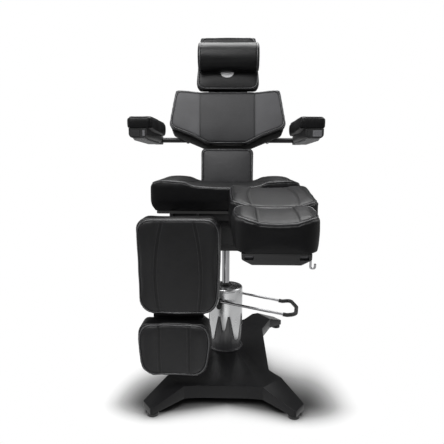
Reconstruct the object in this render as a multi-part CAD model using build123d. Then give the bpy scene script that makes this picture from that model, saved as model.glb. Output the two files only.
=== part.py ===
from build123d import *
import math
import os

# Tattoo chair on a hydraulic column: millimetres, +Z up, +Y towards the back of the chair, +X to the
# sitter's left. Everything is modelled about the column axis at floor level, and export moves it so that
# the origin is the middle of the whole chair's bounding box, on the floor.

# Fits and small values shared by all pieces
FIT = 0.3                # clearance between faces of pieces that move or stack
BORE_FIT = 0.4           # radial clearance of a pin or shaft in its bore
OVERRUN = 20.0           # how far a cutting shape runs past what it cuts
SEAM_WIDTH = 4.0         # width of a sewn channel in a cushion
SEAM_DEPTH = 3.0

# Base
BASE_TOP = 80.0
BASE_BOTTOM = 28.0
TIP_BOTTOM = 17.0        # the legs' lower edge comes down to this at their tips
BASE_WALL = 8.0
BASE_FRONT = 383.0       # front edge between the legs
BASE_REAR = 324.0        # rear edge between the legs, which curves inwards
BASE_NOSE_HALF = 95.0    # half the straight front edge
BASE_TAIL_HALF = 92.0
BASE_WAIST_HALF = 190.0
WAIST_FRONT = 245.0
WAIST_REAR = 205.0
FRONT_FOLD_INNER = (156.0, 390.0)
FRONT_FOLD_OUTER = (236.0, 307.0)
FRONT_TIP_INNER = (271.0, 492.0)
FRONT_TIP_OUTER = (311.0, 437.0)
REAR_SHOULDER = (146.0, 420.0)
REAR_FOLD_INNER = (178.0, 438.0)
REAR_FOLD_OUTER = (243.0, 345.0)
REAR_TIP_INNER = (275.0, 478.0)
REAR_TIP_OUTER = (316.0, 428.0)
TIP_TOP = 42.0           # height of the legs' upper face at their tips
BASE_CORNER = 8.0        # rounding of the base's corners seen from above
WAIST_CORNER = 38.0

# Levelling feet
FRONT_FOOT = (270.0, 454.0)
REAR_FOOT = (284.0, 430.0)
FOOT_RADIUS = 23.0
FOOT_HEIGHT = 14.0
FOOT_BEVEL = 4.0
STUD_RADIUS = 6.0
STUD_TOP = 36.0
BOSS_RADIUS = 13.0

# Column: black barrel, silver pump housing with fingers, collar, piston
BARREL_RADIUS = 76.0
BARREL_WALL = 6.0
BARREL_TOP = 258.0
BARREL_FLOOR = 10.0
FLANGE_RADIUS = 83.0
FLANGE_HEIGHT = 6.0
BOLT_RING = 52.0
BOLT_RADIUS = 4.0
BOLT_HEAD_RADIUS = 7.0
BOLT_HEAD_HEIGHT = 5.0
BOLTS = 4
HOUSING_WALL = 3.0
HOUSING_TOP = 378.0
HOUSING_SHOULDER = 9.0   # rounding of the housing's upper edge
HOUSING_LID = 12.0
FINGER_ROOT = 251.0
FINGER_PAIRS = 4         # a long and a short finger make one pair
FINGER_TURN = -4.5       # the row of fingers is turned this far about the column
LONG_TIP = 133.0
SHORT_TIP = 184.0
LONG_FINGER_WIDTH = 66.0
LONG_TIP_WIDTH = 24.0
SHORT_FINGER_WIDTH = 34.0
SHORT_TIP_WIDTH = 12.0
COVER_THICK = 5.0
COVER_WIDTH = 84.0
COVER_HEIGHT = 54.0
COVER_OFFSET = 8.0
COVER_TOP = 374.0
COVER_CORNER = 12.0
CYLINDER_RADIUS = 26.0
CYLINDER_TOP = 284.0
COLLAR_RADIUS = 24.0
COLLAR_FLANGE = 31.0
COLLAR_FLANGE_HEIGHT = 4.0
COLLAR_TOP = 392.0
COLLAR_DEPTH = 10.0
PISTON_RADIUS = 17.5
PISTON_BOTTOM = 150.0

# Foot pump lever
LEVER_X = -28.0
LEVER_Z = 304.0
LEVER_SHAFT_RADIUS = 8.0
LEVER_SLOPE = 11.3       # degrees below the horizontal, seen from the front
LEVER_SPREAD = 95.0      # from the column axis to each rod's centre
ROD_RADIUS = 6.0
ROD_START_X = -22.0
ROD_START_Z = 330.0
ROD_END_X = 262.0
CRANK_THICK = 4.0
CRANK_RADIUS = 12.0
GRIP_RADIUS = 9.0
GRIP_CORNER_X = 320.0    # the grip's two corners, on the rods' lines
GRIP_REACH = 336.0       # the middle of its cross part, which bows outwards
GRIP_Z = 274.0
GRIP_CORNER = 27.0
GRIP_SOCKET = 18.0       # how far each rod sits in the grip
WASHER_RADIUS = 12.5
WASHER_THICK = 5.0

# Swivel housing and seat frame
SWIVEL_HALF_WIDTH = 70.0
SWIVEL_HALF_DEPTH = 100.0
SWIVEL_BOTTOM = 566.0
SWIVEL_WALL = 4.0
PANEL_HALF_WIDTH = 33.0
PANEL_BOTTOM = 593.0
PANEL_TOP = 669.0
PANEL_RECESS = 2.0
BEARING_RADIUS = 42.0
BEARING_HEIGHT = 12.0
FRAME_BOTTOM = 712.0
FRAME_HEIGHT = 30.0
FRAME_PLATE = 6.0
FRAME_RAIL = 28.0
FRAME_HALF_WIDTH = 236.0
FRAME_FRONT = 172.0
FRAME_REAR = 188.0
EAR_THICK = 10.0
EAR_RADIUS = 16.0

# Seat
SEAT_WIDTH = 630.0
SEAT_FRONT = 204.0
SEAT_REAR = 190.0
SEAT_BOTTOM = 754.0
SEAT_THICK = 98.0        # at the middle, the bolsters stand higher
SEAT_DISH = 34.0
SEAT_DRAW_IN = 21.0      # the seat's lower edges round in by this much
SEAT_CORNER = 26.0
SEAT_PANEL = 280.0       # between the seams of the side bolsters, at their nearest
SEAT_SEAM_BOW = 60.0     # and they spread by this much each towards the front edge
SEAT_BOARD = 12.0
SEAT_BOARD_INSET = 24.0

# Leg rests: x across, y towards the hip, z out of the padded face, origin at the hinge
LEG_HINGE_Y = -259.0
LEG_HINGE_Z = 695.0
LEG_CENTRE = 171.0
LEG_WIDTH = 316.0
LEG_FOOT_WIDTH = 296.0   # the pad narrows towards the foot
LEG_LENGTH = 379.0
LEG_END_BOW = 9.0        # its foot end is rounded outwards by this much
LEG_HIP = 65.0           # from the hinge to the hip end of the pad
LEG_FACE = 151.0         # from the hinge to the middle of the padded face
LEG_CUSHION = 84.0
LEG_DISH = 16.0
LEG_DRAW_IN = 16.0       # and the leg and foot pads' by this much
LEG_CORNER = 54.0
LEG_FOOT_CORNER = 70.0
END_BOW_RADIUS = 300.0
LEG_PANEL_HIP = 118.0    # between the seams at the hip end
LEG_PANEL_MID = 170.0
LEG_PANEL_FOOT = 148.0
LEG_RAISED = 5.8         # degrees that the raised leg slopes down
LEG_HANGING = 90.0
CASING_THICK = 27.0
CASING_WIDTH = 250.0
CASING_BEVEL = 30.0      # across, from the casing's side to its flat underside
CASING_SIDE = 8.0        # height at which that bevel starts
CASING_INSET = 18.0
CASING_FOOT_INSET = 12.0
LUG_SPACING = 130.0
PIN_RADIUS = 6.0
FOOT_WIDTH = 264.0
LEFT_FOOT_WIDER = 18.0    # the hanging foot pad is wider than the raised one by this much
FOOT_HIP_SHARE = 0.92    # the foot pad's width at its hip end, over its width at its widest
FOOT_TIP_SHARE = 0.87    # and at its foot end
FOOT_LENGTH = 220.0
FOOT_CORNER = 46.0
FOOT_TIP_CORNER = 66.0
FOOT_SIDE_CORNER = 90.0
FOOT_PANEL = 112.0
FOOT_GAP = 3.0           # between the leg pad and a foot pad that is pushed in
LEFT_FOOT_OUT = 24.0     # the hanging leg's foot pad is drawn out this far
RAIL_ASIDE = -12.0       # both foot slides sit this far to the left of their leg's middle
LEFT_FOOT_ASIDE = -19.0  # and the foot pads this far
RIGHT_FOOT_ASIDE = -10.0
FOOT_CASING_WIDTH = 202.0
FOOT_CASING_THICK = 34.0
FOOT_CASING_SIDE = 16.0
FOOT_CASING_INSET = 20.0
FOOT_CASING_OVER = 10.0  # it reaches this far past the foot pad towards the leg
RAIL_SPACING = 159.0
RAIL_WIDTH = 26.0
RAIL_HEIGHT = 12.0
RAIL_LENGTH = 360.0
RAIL_RECESS = 12.0       # from the foot casing's end to the rails' ends
RAIL_DROP = 13.0         # from the casing's top to the rails' centre
RELEASE_FROM_END = 52.0  # from the leg pad's foot end towards the hip
RELEASE_WIRE = 4.0
RELEASE_LENGTH = 124.0
RELEASE_HOOK = 16.0      # the hook turns outwards and up by this much
RELEASE_BEND = 6.0
RELEASE_STANDOFF = 7.0

# Back: x across, y up along the back, z forwards out of the front plane
RECLINE = 12.0
BACK_FOOT_Y = 210.0      # where the front plane meets the seat's middle height
BACK_FOOT_Z = 856.0
BACK_HINGE_Y = 262.0
BACK_HINGE_Z = 775.0
BACK_HINGE_X = 112.0
LUMBAR_WIDTH = 266.0
LUMBAR_BOTTOM = -46.0
LUMBAR_TOP = 172.0
LUMBAR_SETBACK = 12.0
LUMBAR_CORNER = 24.0
BACK_CUSHION = 62.0
BACK_BOARD = 16.0
BACK_LOW = (100.0, 188.0)
BACK_KNEE = (172.0, 229.0)
BACK_WIDE = (300.0, 281.0)
BACK_TOP = (265.0, 474.0)
BACK_TOP_DIP = (165.0, 465.0)
BACK_CORNER = 16.0
BACK_WIDE_CORNER = 30.0
BACK_PANEL = 276.0
BOARD_LOW = (122.0, 180.0)
BOARD_WIDE = (278.0, 246.0)
BOARD_INSET = 9.0
UPRIGHT_X = 90.0
UPRIGHT_WIDTH = 30.0
UPRIGHT_DEPTH = 25.0
UPRIGHT_TOP = 436.0
UPRIGHT_BOTTOM = -92.0
LUG_FOOT = 48.0          # length of the hinge lug where it grows out of its upright
CROSS_HEIGHT = 30.0
LOW_CROSS = 40.0

# Arm bar and armrests
BAR_S = 230.0            # height along the back
BAR_RADIUS = 13.0
BAR_HALF = 378.0
BAR_BOLT_X = 208.0
BAR_BOLT_RADIUS = 7.0
BAR_BOLT_HEAD = 5.0
ARM_INNER = 303.0
ARM_WIDTH = 104.0
ARM_FRONT = 185.0
ARM_REAR = 217.0
ARM_TOP = 1140.0
ARM_PAD_FRONT = 45.0     # thickness of the pad at its front
ARM_PAD_REAR = 63.0
ARM_PAD_CORNER = 20.0
ARM_BODY_INNER = 325.0
ARM_BODY_WIDTH = 74.0
ARM_BODY_FRONT = 40.0    # height of the body below the pad at its front
ARM_BODY_REAR = 32.0
ARM_BODY_SETBACK = 6.0
ARM_BODY_ROUND = 18.0
ARM_PLATE_THICK = 8.0
ARM_PLATE_INSET = 9.0
ARM_PLATE_SETBACK = 32.0
ARM_NECK_WIDTH = 40.0
ARM_NECK_HEIGHT = 34.0
ARM_HUB_RADIUS = 23.0
CAP_WIDTH = 36.0
CAP_HEIGHT = 25.0
CAP_THICK = 4.0
CAP_RIBS = 5
CAP_EDGE = 9.0           # from the body's outer side to the cap
BUTTON_WIDTH = 9.0
BUTTON_HEIGHT = 25.0
BUTTON_DEPTH = 12.0
BUTTON_STANDS = 4.0
BUTTON_EDGE = 7.0        # from the body's inner side to the button

# Headrest, in the back's frame
HEAD_WIDTH = 326.0       # at its widest, near the lower end
HEAD_TOP_WIDTH = 284.0
HEAD_BOTTOM = 470.0
HEAD_TOP = 750.0
HEAD_CUSHION = 56.0
HEAD_CORNER = 40.0
HEAD_TOP_CORNER = 16.0
HEAD_BOARD = 12.0
HEAD_BOARD_INSET = 16.0
BOLSTER_WIDTH = 302.0
BOLSTER_ASIDE = 4.0      # the roll sits a little to the right on the pad
BOLSTER_BOTTOM = 551.0
BOLSTER_TOP = 696.0
BOLSTER_DEPTH = 90.0
ROLL_SHOULDER_SHARE = 0.707         # of half the roll's height
ROLL_SHOULDER_HEIGHT_SHARE = 0.74   # of the roll's depth
BADGE_WIDTH = 66.0
BADGE_DROP = 20.0
BADGE_THICK = 5.0
BADGE_OFFSET = -3.0
MAST_HALF_WIDTH = 102.0
MAST_BOTTOM = 470.0
MAST_HEIGHT = 22.0
MAST_DEPTH = 22.0
POST_RADIUS = 8.0
POST_X = 56.0
POST_BOTTOM = 300.0
HEAD_HINGE_S = 506.0
HEAD_HINGE_BACK = 92.0   # behind the front plane
HEAD_EAR_X = 46.0
HEAD_EAR_THICK = 8.0
HEAD_PIN_RADIUS = 5.0
HEAD_EAR_RADIUS = 11.0
BRACKET_HEIGHT = 44.0    # how far the bracket reaches up the board from its pin

# Cushion shape shares: how far the sides draw in and where they swell
SWELL_SHARE = 0.45       # height at which a cushion's side stands widest
CREST_SHARE = 0.11       # place of a bolster's crest across the width
PANEL_RISE_SHARE = 0.25  # how much of the dish is left at the panel's seam
EDGE_SHARE = 0.5         # how much of the dish stands at the side edge
LONG_CROWN_SHARE = 1.25  # the crown seen from the side, over the crown seen from the end
DRAW_IN = 9.0            # how far a cushion's lower edge draws in
TOP_DRAW_IN = 7.0        # how far its upper edge draws in

HOUSING_RADIUS = BARREL_RADIUS + FIT + HOUSING_WALL
BACK = Pos(0, BACK_FOOT_Y, BACK_FOOT_Z) * Rot(90 - RECLINE, 0, 0)
pieces = {}


def keep(name, *solids):
    """Stores one or more solids under a node's name."""
    shapes = []
    for solid in solids:
        shapes.extend(solid.solids())
    pieces[name] = shapes[0] if len(shapes) == 1 else Compound(children=shapes)


def polygon(*points):
    """A face through the points, whichever way round they are listed."""
    area = sum(a[0] * b[1] - b[0] * a[1] for a, b in zip(points, points[1:] + points[:1]))
    ordered = points if area > 0 else points[::-1]
    return make_face(Polyline(*ordered, close=True))


def prism_x(face_yz, low, high):
    """A face drawn with y and z as its two axes, carried along X from low to high."""
    return Pos(low, 0, 0) * extrude(Plane.YZ * face_yz, high - low, dir=(1, 0, 0))


def prism_y(face_xz, low, high):
    """A face drawn with x and z as its two axes, carried along Y from low to high."""
    return Pos(0, low, 0) * extrude(Plane.XZ * face_xz, high - low, dir=(0, 1, 0))


def prism_z(face, low, high):
    """A face seen from above, carried up from low to high."""
    return Pos(0, 0, low) * extrude(face, high - low, dir=(0, 0, 1))


def slab(x0, x1, y0, y1, z0, z1):
    """A block between six planes."""
    return Pos((x0 + x1) / 2, (y0 + y1) / 2, (z0 + z1) / 2) * Box(x1 - x0, y1 - y0, z1 - z0)


def tube(radius, bore, low, high):
    """An upright ring, bored through."""
    ring = Pos(0, 0, low) * Cylinder(radius, high - low, align=(Align.CENTER, Align.CENTER, Align.MIN))
    hole = Pos(0, 0, low - OVERRUN) * Cylinder(
        bore, high - low + 2 * OVERRUN, align=(Align.CENTER, Align.CENTER, Align.MIN)
    )
    return ring - hole


def rod_x(radius, low, high, y=0, z=0):
    """A round bar along X."""
    return Pos(low, y, z) * Rot(0, 90, 0) * Cylinder(
        radius, high - low, align=(Align.CENTER, Align.CENTER, Align.MIN)
    )


def rod_y(radius, low, high, x=0, z=0):
    """A round bar along Y."""
    return Pos(x, low, z) * Rot(-90, 0, 0) * Cylinder(
        radius, high - low, align=(Align.CENTER, Align.CENTER, Align.MIN)
    )


def rounded_polygon(points, radii):
    """A closed face through the points, with its own rounding at each corner, or none where that is 0."""
    face = polygon(*points)
    for point, radius in zip(points, radii):
        if radius:
            corner = face.vertices().sort_by_distance((point[0], point[1], 0))[0]
            face = fillet(corner, radius)
    return face


def mirrored_outline(right_side):
    """Points of the right half, upwards, joined to their mirror images on the left."""
    return list(right_side) + [(-x, y) for x, y in reversed(right_side)]


# Base


def base_outline():
    """The base seen from above: four splayed legs, a waist, a straight front and a hollow rear edge."""
    front = [(x, -y) for x, y in (FRONT_FOLD_INNER, FRONT_TIP_INNER, FRONT_TIP_OUTER, FRONT_FOLD_OUTER)]
    rear = [REAR_FOLD_OUTER, REAR_TIP_OUTER, REAR_TIP_INNER, REAR_FOLD_INNER, REAR_SHOULDER]
    right = (
        [(BASE_NOSE_HALF, -BASE_FRONT)]
        + front
        + [(BASE_WAIST_HALF, -WAIST_FRONT), (BASE_WAIST_HALF, WAIST_REAR)]
        + rear
        + [(BASE_TAIL_HALF, BASE_REAR)]
    )
    legs = [BASE_CORNER] * len(rear)
    radii = legs + [WAIST_CORNER, WAIST_CORNER] + legs + [WAIST_CORNER]
    return rounded_polygon(mirrored_outline(right), radii + radii[::-1])


def leg_slope_cut(fold_inner, fold_outer, tip_inner, tip_outer, lowered):
    """What is cut away above a leg, from its fold down to its tip."""
    a = Vector(*fold_inner, BASE_TOP - lowered)
    b = Vector(*fold_outer, BASE_TOP - lowered)
    tip = (Vector(*tip_inner, TIP_TOP - lowered) + Vector(*tip_outer, TIP_TOP - lowered)) * 0.5
    middle = (a + b) * 0.5
    normal = (b - a).cross(tip - middle)
    if normal.Z < 0:
        normal = normal * -1
    reach = 2 * ((tip - middle).length + OVERRUN)
    outward = tip - middle
    plane = Plane(origin=middle + outward.normalized() * (reach / 2), x_dir=b - a, z_dir=normal)
    return plane * Box(
        2 * (b - a).length, reach, BASE_TOP, align=(Align.CENTER, Align.CENTER, Align.MIN)
    )


def leg_space(fold_inner, fold_outer, tip_inner, tip_outer):
    """The space in which a leg's lower edge comes down: beyond its fold, above a plane that falls to
    its tip."""
    a = Vector(*fold_inner, BASE_BOTTOM)
    b = Vector(*fold_outer, BASE_BOTTOM)
    tip = (Vector(*tip_inner, TIP_BOTTOM) + Vector(*tip_outer, TIP_BOTTOM)) * 0.5
    middle = (a + b) * 0.5
    run = (tip - middle).length + OVERRUN
    slope = (tip.Z - middle.Z) / Vector(tip.X - middle.X, tip.Y - middle.Y).length
    along = Vector(tip.X - middle.X, tip.Y - middle.Y).normalized()
    side = polygon((0, 0), (run, slope * run), (run, BASE_TOP), (0, BASE_TOP))
    width = 2 * (b - a).length
    plane = Plane(origin=middle, x_dir=along, z_dir=along.cross(Vector(0, 0, 1)))
    return plane * Pos(0, 0, -width / 2) * extrude(side, width, dir=(0, 0, 1))


def leg_corners():
    """For each leg its fold and its tip, inner corner before outer."""
    front = (FRONT_FOLD_INNER, FRONT_FOLD_OUTER, FRONT_TIP_INNER, FRONT_TIP_OUTER)
    rear = (REAR_FOLD_INNER, REAR_FOLD_OUTER, REAR_TIP_INNER, REAR_TIP_OUTER)
    legs = []
    for side in (-1, 1):
        legs.append([(side * x, -y) for x, y in front])
        legs.append([(side * x, y) for x, y in rear])
    return legs


def base_volume(inset, bottom):
    """The base as one block, drawn in and lowered by inset, standing on bottom."""
    outline = base_outline()
    if inset:
        outline = offset(outline, -inset, kind=Kind.INTERSECTION)
    block = prism_z(outline, bottom, BASE_TOP - inset)
    for corners in leg_corners():
        if not inset:
            block += prism_z(outline, 0, BASE_TOP) & leg_space(*corners)
        block -= leg_slope_cut(*corners, inset)
    return block


def foot_places():
    """The four feet's centres on the floor."""
    x, y = FRONT_FOOT
    u, v = REAR_FOOT
    return [(-x, -y), (x, -y), (-u, v), (u, v)]


def bolt_places():
    """Where the bolts stand that hold the barrel down."""
    turns = [math.radians(360 / BOLTS * (k + 0.5)) for k in range(BOLTS)]
    return [(BOLT_RING * math.cos(turn), BOLT_RING * math.sin(turn)) for turn in turns]


def build_base():
    """Hollow base, its feet and their studs."""
    outer = base_volume(0, BASE_BOTTOM)
    body = outer - base_volume(BASE_WALL, BASE_BOTTOM - OVERRUN)
    for x, y in foot_places():
        boss = Pos(x, y, 0) * Cylinder(
            BOSS_RADIUS, BASE_TOP, align=(Align.CENTER, Align.CENTER, Align.MIN)
        )
        body += boss & outer
        body -= Pos(x, y, 0) * Cylinder(
            STUD_RADIUS + BORE_FIT, STUD_TOP, align=(Align.CENTER, Align.CENTER, Align.MIN)
        )
    for place in bolt_places():
        body -= Pos(*place, BASE_TOP - 2 * BASE_WALL) * Cylinder(
            BOLT_RADIUS + FIT, 4 * BASE_WALL, align=(Align.CENTER, Align.CENTER, Align.MIN)
        )
    keep("base_body", body)
    pads, studs = [], []
    for x, y in foot_places():
        pad = Cylinder(FOOT_RADIUS, FOOT_HEIGHT, align=(Align.CENTER, Align.CENTER, Align.MIN))
        pad = chamfer(pad.edges().group_by(Axis.Z)[-1], FOOT_BEVEL)
        pads.append(Pos(x, y, 0) * pad)
        stud = Cylinder(STUD_RADIUS, STUD_TOP - FOOT_HEIGHT, align=(Align.CENTER, Align.CENTER, Align.MIN))
        studs.append(Pos(x, y, FOOT_HEIGHT) * stud)
    keep("levelling_feet", *pads)
    keep("foot_studs", *studs)


# Column


def finger(width, tip_width, tip, turn):
    """One tapering tongue of the housing: a flat outline with a round tip, cut out of the tube."""
    tip_radius = tip_width / 2
    outline = polygon(
        (-width / 2, FINGER_ROOT),
        (-tip_radius, tip + tip_radius),
        (tip_radius, tip + tip_radius),
        (width / 2, FINGER_ROOT),
    )
    outline += Pos(0, tip + tip_radius) * Circle(tip_radius)
    tongue = prism_y(outline, -2 * HOUSING_RADIUS, 0)
    return (Rot(0, 0, turn) * tongue) & tube(
        HOUSING_RADIUS, HOUSING_RADIUS - HOUSING_WALL, tip - OVERRUN, FINGER_ROOT
    )


def build_column():
    """Barrel with its flange, pump cylinder, silver housing, its cover, the collar and the piston."""
    barrel = tube(BARREL_RADIUS, BARREL_RADIUS - BARREL_WALL, BASE_TOP, BARREL_TOP)
    barrel += tube(FLANGE_RADIUS, BARREL_RADIUS - BARREL_WALL, BASE_TOP, BASE_TOP + FLANGE_HEIGHT)
    barrel += Pos(0, 0, BASE_TOP) * Cylinder(
        BARREL_RADIUS - BARREL_WALL, BARREL_FLOOR, align=(Align.CENTER, Align.CENTER, Align.MIN)
    )
    bolts = []
    for place in bolt_places():
        head_top = BASE_TOP - BASE_WALL
        barrel -= Pos(*place, BASE_TOP) * Cylinder(BOLT_RADIUS + FIT, 4 * BARREL_FLOOR)
        head = Pos(*place, head_top - BOLT_HEAD_HEIGHT) * Cylinder(
            BOLT_HEAD_RADIUS, BOLT_HEAD_HEIGHT, align=(Align.CENTER, Align.CENTER, Align.MIN)
        )
        head += Pos(*place, head_top) * Cylinder(
            BOLT_RADIUS, BASE_WALL + BARREL_FLOOR, align=(Align.CENTER, Align.CENTER, Align.MIN)
        )
        bolts.append(head)
    keep("column_barrel", barrel)
    keep("barrel_bolts", *bolts)

    bore = PISTON_RADIUS + BORE_FIT
    floor = BASE_TOP + BARREL_FLOOR
    cylinder = tube(CYLINDER_RADIUS, bore, floor, CYLINDER_TOP)
    cylinder += Pos(0, 0, floor) * Cylinder(
        CYLINDER_RADIUS, BARREL_FLOOR, align=(Align.CENTER, Align.CENTER, Align.MIN)
    )
    keep("pump_cylinder", cylinder)

    shell = Pos(0, 0, FINGER_ROOT) * Cylinder(
        HOUSING_RADIUS, HOUSING_TOP - FINGER_ROOT, align=(Align.CENTER, Align.CENTER, Align.MIN)
    )
    shell = fillet(shell.edges().group_by(Axis.Z)[-1], HOUSING_SHOULDER)
    shell -= Pos(0, 0, FINGER_ROOT) * Cylinder(
        HOUSING_RADIUS - HOUSING_WALL,
        HOUSING_TOP - HOUSING_LID - FINGER_ROOT,
        align=(Align.CENTER, Align.CENTER, Align.MIN),
    )
    pitch = 360 / FINGER_PAIRS
    for k in range(FINGER_PAIRS):
        turn = pitch * k + FINGER_TURN
        shell += finger(LONG_FINGER_WIDTH, LONG_TIP_WIDTH, LONG_TIP, turn + pitch / 2)
        shell += finger(SHORT_FINGER_WIDTH, SHORT_TIP_WIDTH, SHORT_TIP, turn)
    shell -= Pos(0, 0, HOUSING_TOP - HOUSING_LID) * Cylinder(
        COLLAR_RADIUS + FIT, 4 * HOUSING_LID, align=(Align.CENTER, Align.CENTER, Align.CENTER)
    )
    shell -= rod_y(
        LEVER_SHAFT_RADIUS + BORE_FIT, -2 * HOUSING_RADIUS, 2 * HOUSING_RADIUS, LEVER_X, LEVER_Z
    )
    keep("pump_housing", shell)

    cover = tube(
        HOUSING_RADIUS + COVER_THICK,
        HOUSING_RADIUS + FIT,
        COVER_TOP - COVER_HEIGHT,
        COVER_TOP - HOUSING_SHOULDER,
    )
    outline = Pos(COVER_OFFSET, COVER_TOP - COVER_HEIGHT / 2) * RectangleRounded(
        COVER_WIDTH, COVER_HEIGHT, COVER_CORNER
    )
    cover &= prism_y(outline, -2 * HOUSING_RADIUS, 0)
    cover -= rod_y(LEVER_SHAFT_RADIUS + BORE_FIT, -2 * HOUSING_RADIUS, 0, LEVER_X, LEVER_Z)
    keep("pump_cover", cover)

    collar = tube(COLLAR_RADIUS, bore, HOUSING_TOP - COLLAR_DEPTH, COLLAR_TOP)
    collar += tube(COLLAR_FLANGE, bore, HOUSING_TOP, HOUSING_TOP + COLLAR_FLANGE_HEIGHT)
    keep("column_collar", collar)

    bearing_bottom = FRAME_BOTTOM - FIT - BEARING_HEIGHT
    piston = Pos(0, 0, PISTON_BOTTOM) * Cylinder(
        PISTON_RADIUS, bearing_bottom - PISTON_BOTTOM, align=(Align.CENTER, Align.CENTER, Align.MIN)
    )
    keep("piston", piston)
    keep(
        "swivel_bearing",
        Pos(0, 0, bearing_bottom)
        * Cylinder(BEARING_RADIUS, BEARING_HEIGHT, align=(Align.CENTER, Align.CENTER, Align.MIN)),
    )


# Foot pump lever


def lever_point(x):
    """Height of the rods' centre line at a place along X."""
    return ROD_START_Z - (x - ROD_START_X) * math.tan(math.radians(LEVER_SLOPE))


def build_lever():
    """Shaft with its cranks, two rods and the grip that joins them."""
    crank_outer = LEVER_SPREAD - ROD_RADIUS - FIT
    crank_inner = crank_outer - CRANK_THICK
    shaft = rod_y(LEVER_SHAFT_RADIUS, -crank_outer, crank_outer, LEVER_X, LEVER_Z)
    link = Pos(LEVER_X, LEVER_Z) * Circle(CRANK_RADIUS)
    link += Pos(ROD_START_X, ROD_START_Z) * Circle(CRANK_RADIUS - LEVER_SHAFT_RADIUS / 2)
    link += polygon(
        (LEVER_X - CRANK_RADIUS, LEVER_Z),
        (LEVER_X + CRANK_RADIUS, LEVER_Z),
        (ROD_START_X + CRANK_RADIUS - LEVER_SHAFT_RADIUS / 2, ROD_START_Z),
        (ROD_START_X - CRANK_RADIUS + LEVER_SHAFT_RADIUS / 2, ROD_START_Z),
    )
    shaft += prism_y(link, -crank_outer, -crank_inner)
    shaft += prism_y(link, crank_inner, crank_outer)
    for side in (-1, 1):
        low, high = sorted((side * crank_outer, side * (crank_outer + WASHER_THICK)))
        shaft += rod_y(WASHER_RADIUS, low, high, LEVER_X, LEVER_Z)
    keep("lever_shaft", shaft)

    turn = Pos(ROD_START_X, 0, ROD_START_Z) * Rot(0, LEVER_SLOPE, 0)
    run = (ROD_END_X - ROD_START_X) / math.cos(math.radians(LEVER_SLOPE))
    for side, name in ((-1, "lever_rod_front"), (1, "lever_rod_rear")):
        rod = rod_x(ROD_RADIUS, 0, run + GRIP_SOCKET, side * LEVER_SPREAD)
        keep(name, turn * rod)
    socket_x = ROD_END_X + GRIP_SOCKET * math.cos(math.radians(LEVER_SLOPE))
    front_half = [
        (ROD_END_X, -LEVER_SPREAD, lever_point(ROD_END_X)),
        (socket_x, -LEVER_SPREAD, lever_point(socket_x)),
        (GRIP_CORNER_X, -LEVER_SPREAD, GRIP_Z),
    ]
    rear_half = [(x, -y, z) for x, y, z in reversed(front_half)]
    path = FilletPolyline(*front_half, (GRIP_REACH, 0, GRIP_Z), *rear_half, radius=GRIP_CORNER)
    grip = sweep(Plane(origin=path @ 0, z_dir=path % 0) * Circle(GRIP_RADIUS), path=path)
    for side in (-1, 1):
        grip -= turn * rod_x(ROD_RADIUS + FIT / 2, run - OVERRUN, run + GRIP_SOCKET, side * LEVER_SPREAD)
    keep("lever_grip", grip)


# Cushions


def cushion(outline, width, length, thick, dish, crown, panel, draw_in=DRAW_IN):
    """A padded form whose foot is on z = 0: drawn-in swelling sides, a crown along its length and, where
    dish is set, side bolsters that stand above the middle panel. The outline is centred on the origin."""
    half, end = width / 2, length / 2
    swell = thick * SWELL_SHARE
    top = thick + dish
    edge = thick + dish * EDGE_SHARE - TOP_DRAW_IN * (dish == 0)
    lower = half - draw_in
    upper = half - TOP_DRAW_IN
    crest = half - width * CREST_SHARE
    side = [
        Line((-lower, 0), (lower, 0)),
        ThreePointArc((lower, 0), (half, swell), (upper, edge)),
    ]
    if dish:
        seam = (panel / 2, thick + dish * PANEL_RISE_SHARE)
        side += [
            ThreePointArc((upper, edge), (crest, top), seam),
            ThreePointArc(seam, (0, thick), (-seam[0], seam[1])),
            ThreePointArc((-seam[0], seam[1]), (-crest, top), (-upper, edge)),
        ]
    else:
        side += [ThreePointArc((upper, edge), (0, thick + crown), (-upper, edge))]
    side += [ThreePointArc((-upper, edge), (-half, swell), (-lower, 0))]
    across = prism_y(make_face(side), -length, length)

    rim = edge if dish == 0 else top - TOP_DRAW_IN
    along = [
        Line((-end + draw_in, 0), (end - draw_in, 0)),
        ThreePointArc((end - draw_in, 0), (end, swell), (end - TOP_DRAW_IN, rim)),
        ThreePointArc(
            (end - TOP_DRAW_IN, rim), (0, top + crown * LONG_CROWN_SHARE), (-end + TOP_DRAW_IN, rim)
        ),
        ThreePointArc((-end + TOP_DRAW_IN, rim), (-end, swell), (-end + draw_in, 0)),
    ]
    lengthwise = prism_x(make_face(along), -width, width)
    block = prism_z(outline, -OVERRUN, thick + dish + crown + OVERRUN)
    return (across & lengthwise) & block


def sew(pad, *bands):
    """Sinks sewn channels into a cushion's upper face, each as deep as the seam all along."""
    height = pad.bounding_box().max.Z + OVERRUN
    lowered = Pos(0, 0, -SEAM_DEPTH) * pad
    for band in bands:
        pad -= prism_z(band, SEAM_DEPTH, height) - lowered
    return pad


def bowed_band(start, middle, finish):
    """The strip that a seam covers: part of a ring through three points."""
    arc = ThreePointArc(start, middle, finish)
    centre, radius = arc.arc_center, arc.radius
    ring = Circle(radius + SEAM_WIDTH / 2) - Circle(radius - SEAM_WIDTH / 2)
    length = abs(finish[1] - start[1])
    window = Pos(middle[0], (start[1] + finish[1]) / 2) * Rectangle(abs(middle[0]) * 2, length)
    return (Pos(centre.X, centre.Y) * ring) & window


def straight_band(x, length):
    """A straight seam along Y."""
    return Pos(x, 0) * Rectangle(SEAM_WIDTH, length)


# Seat


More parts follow.
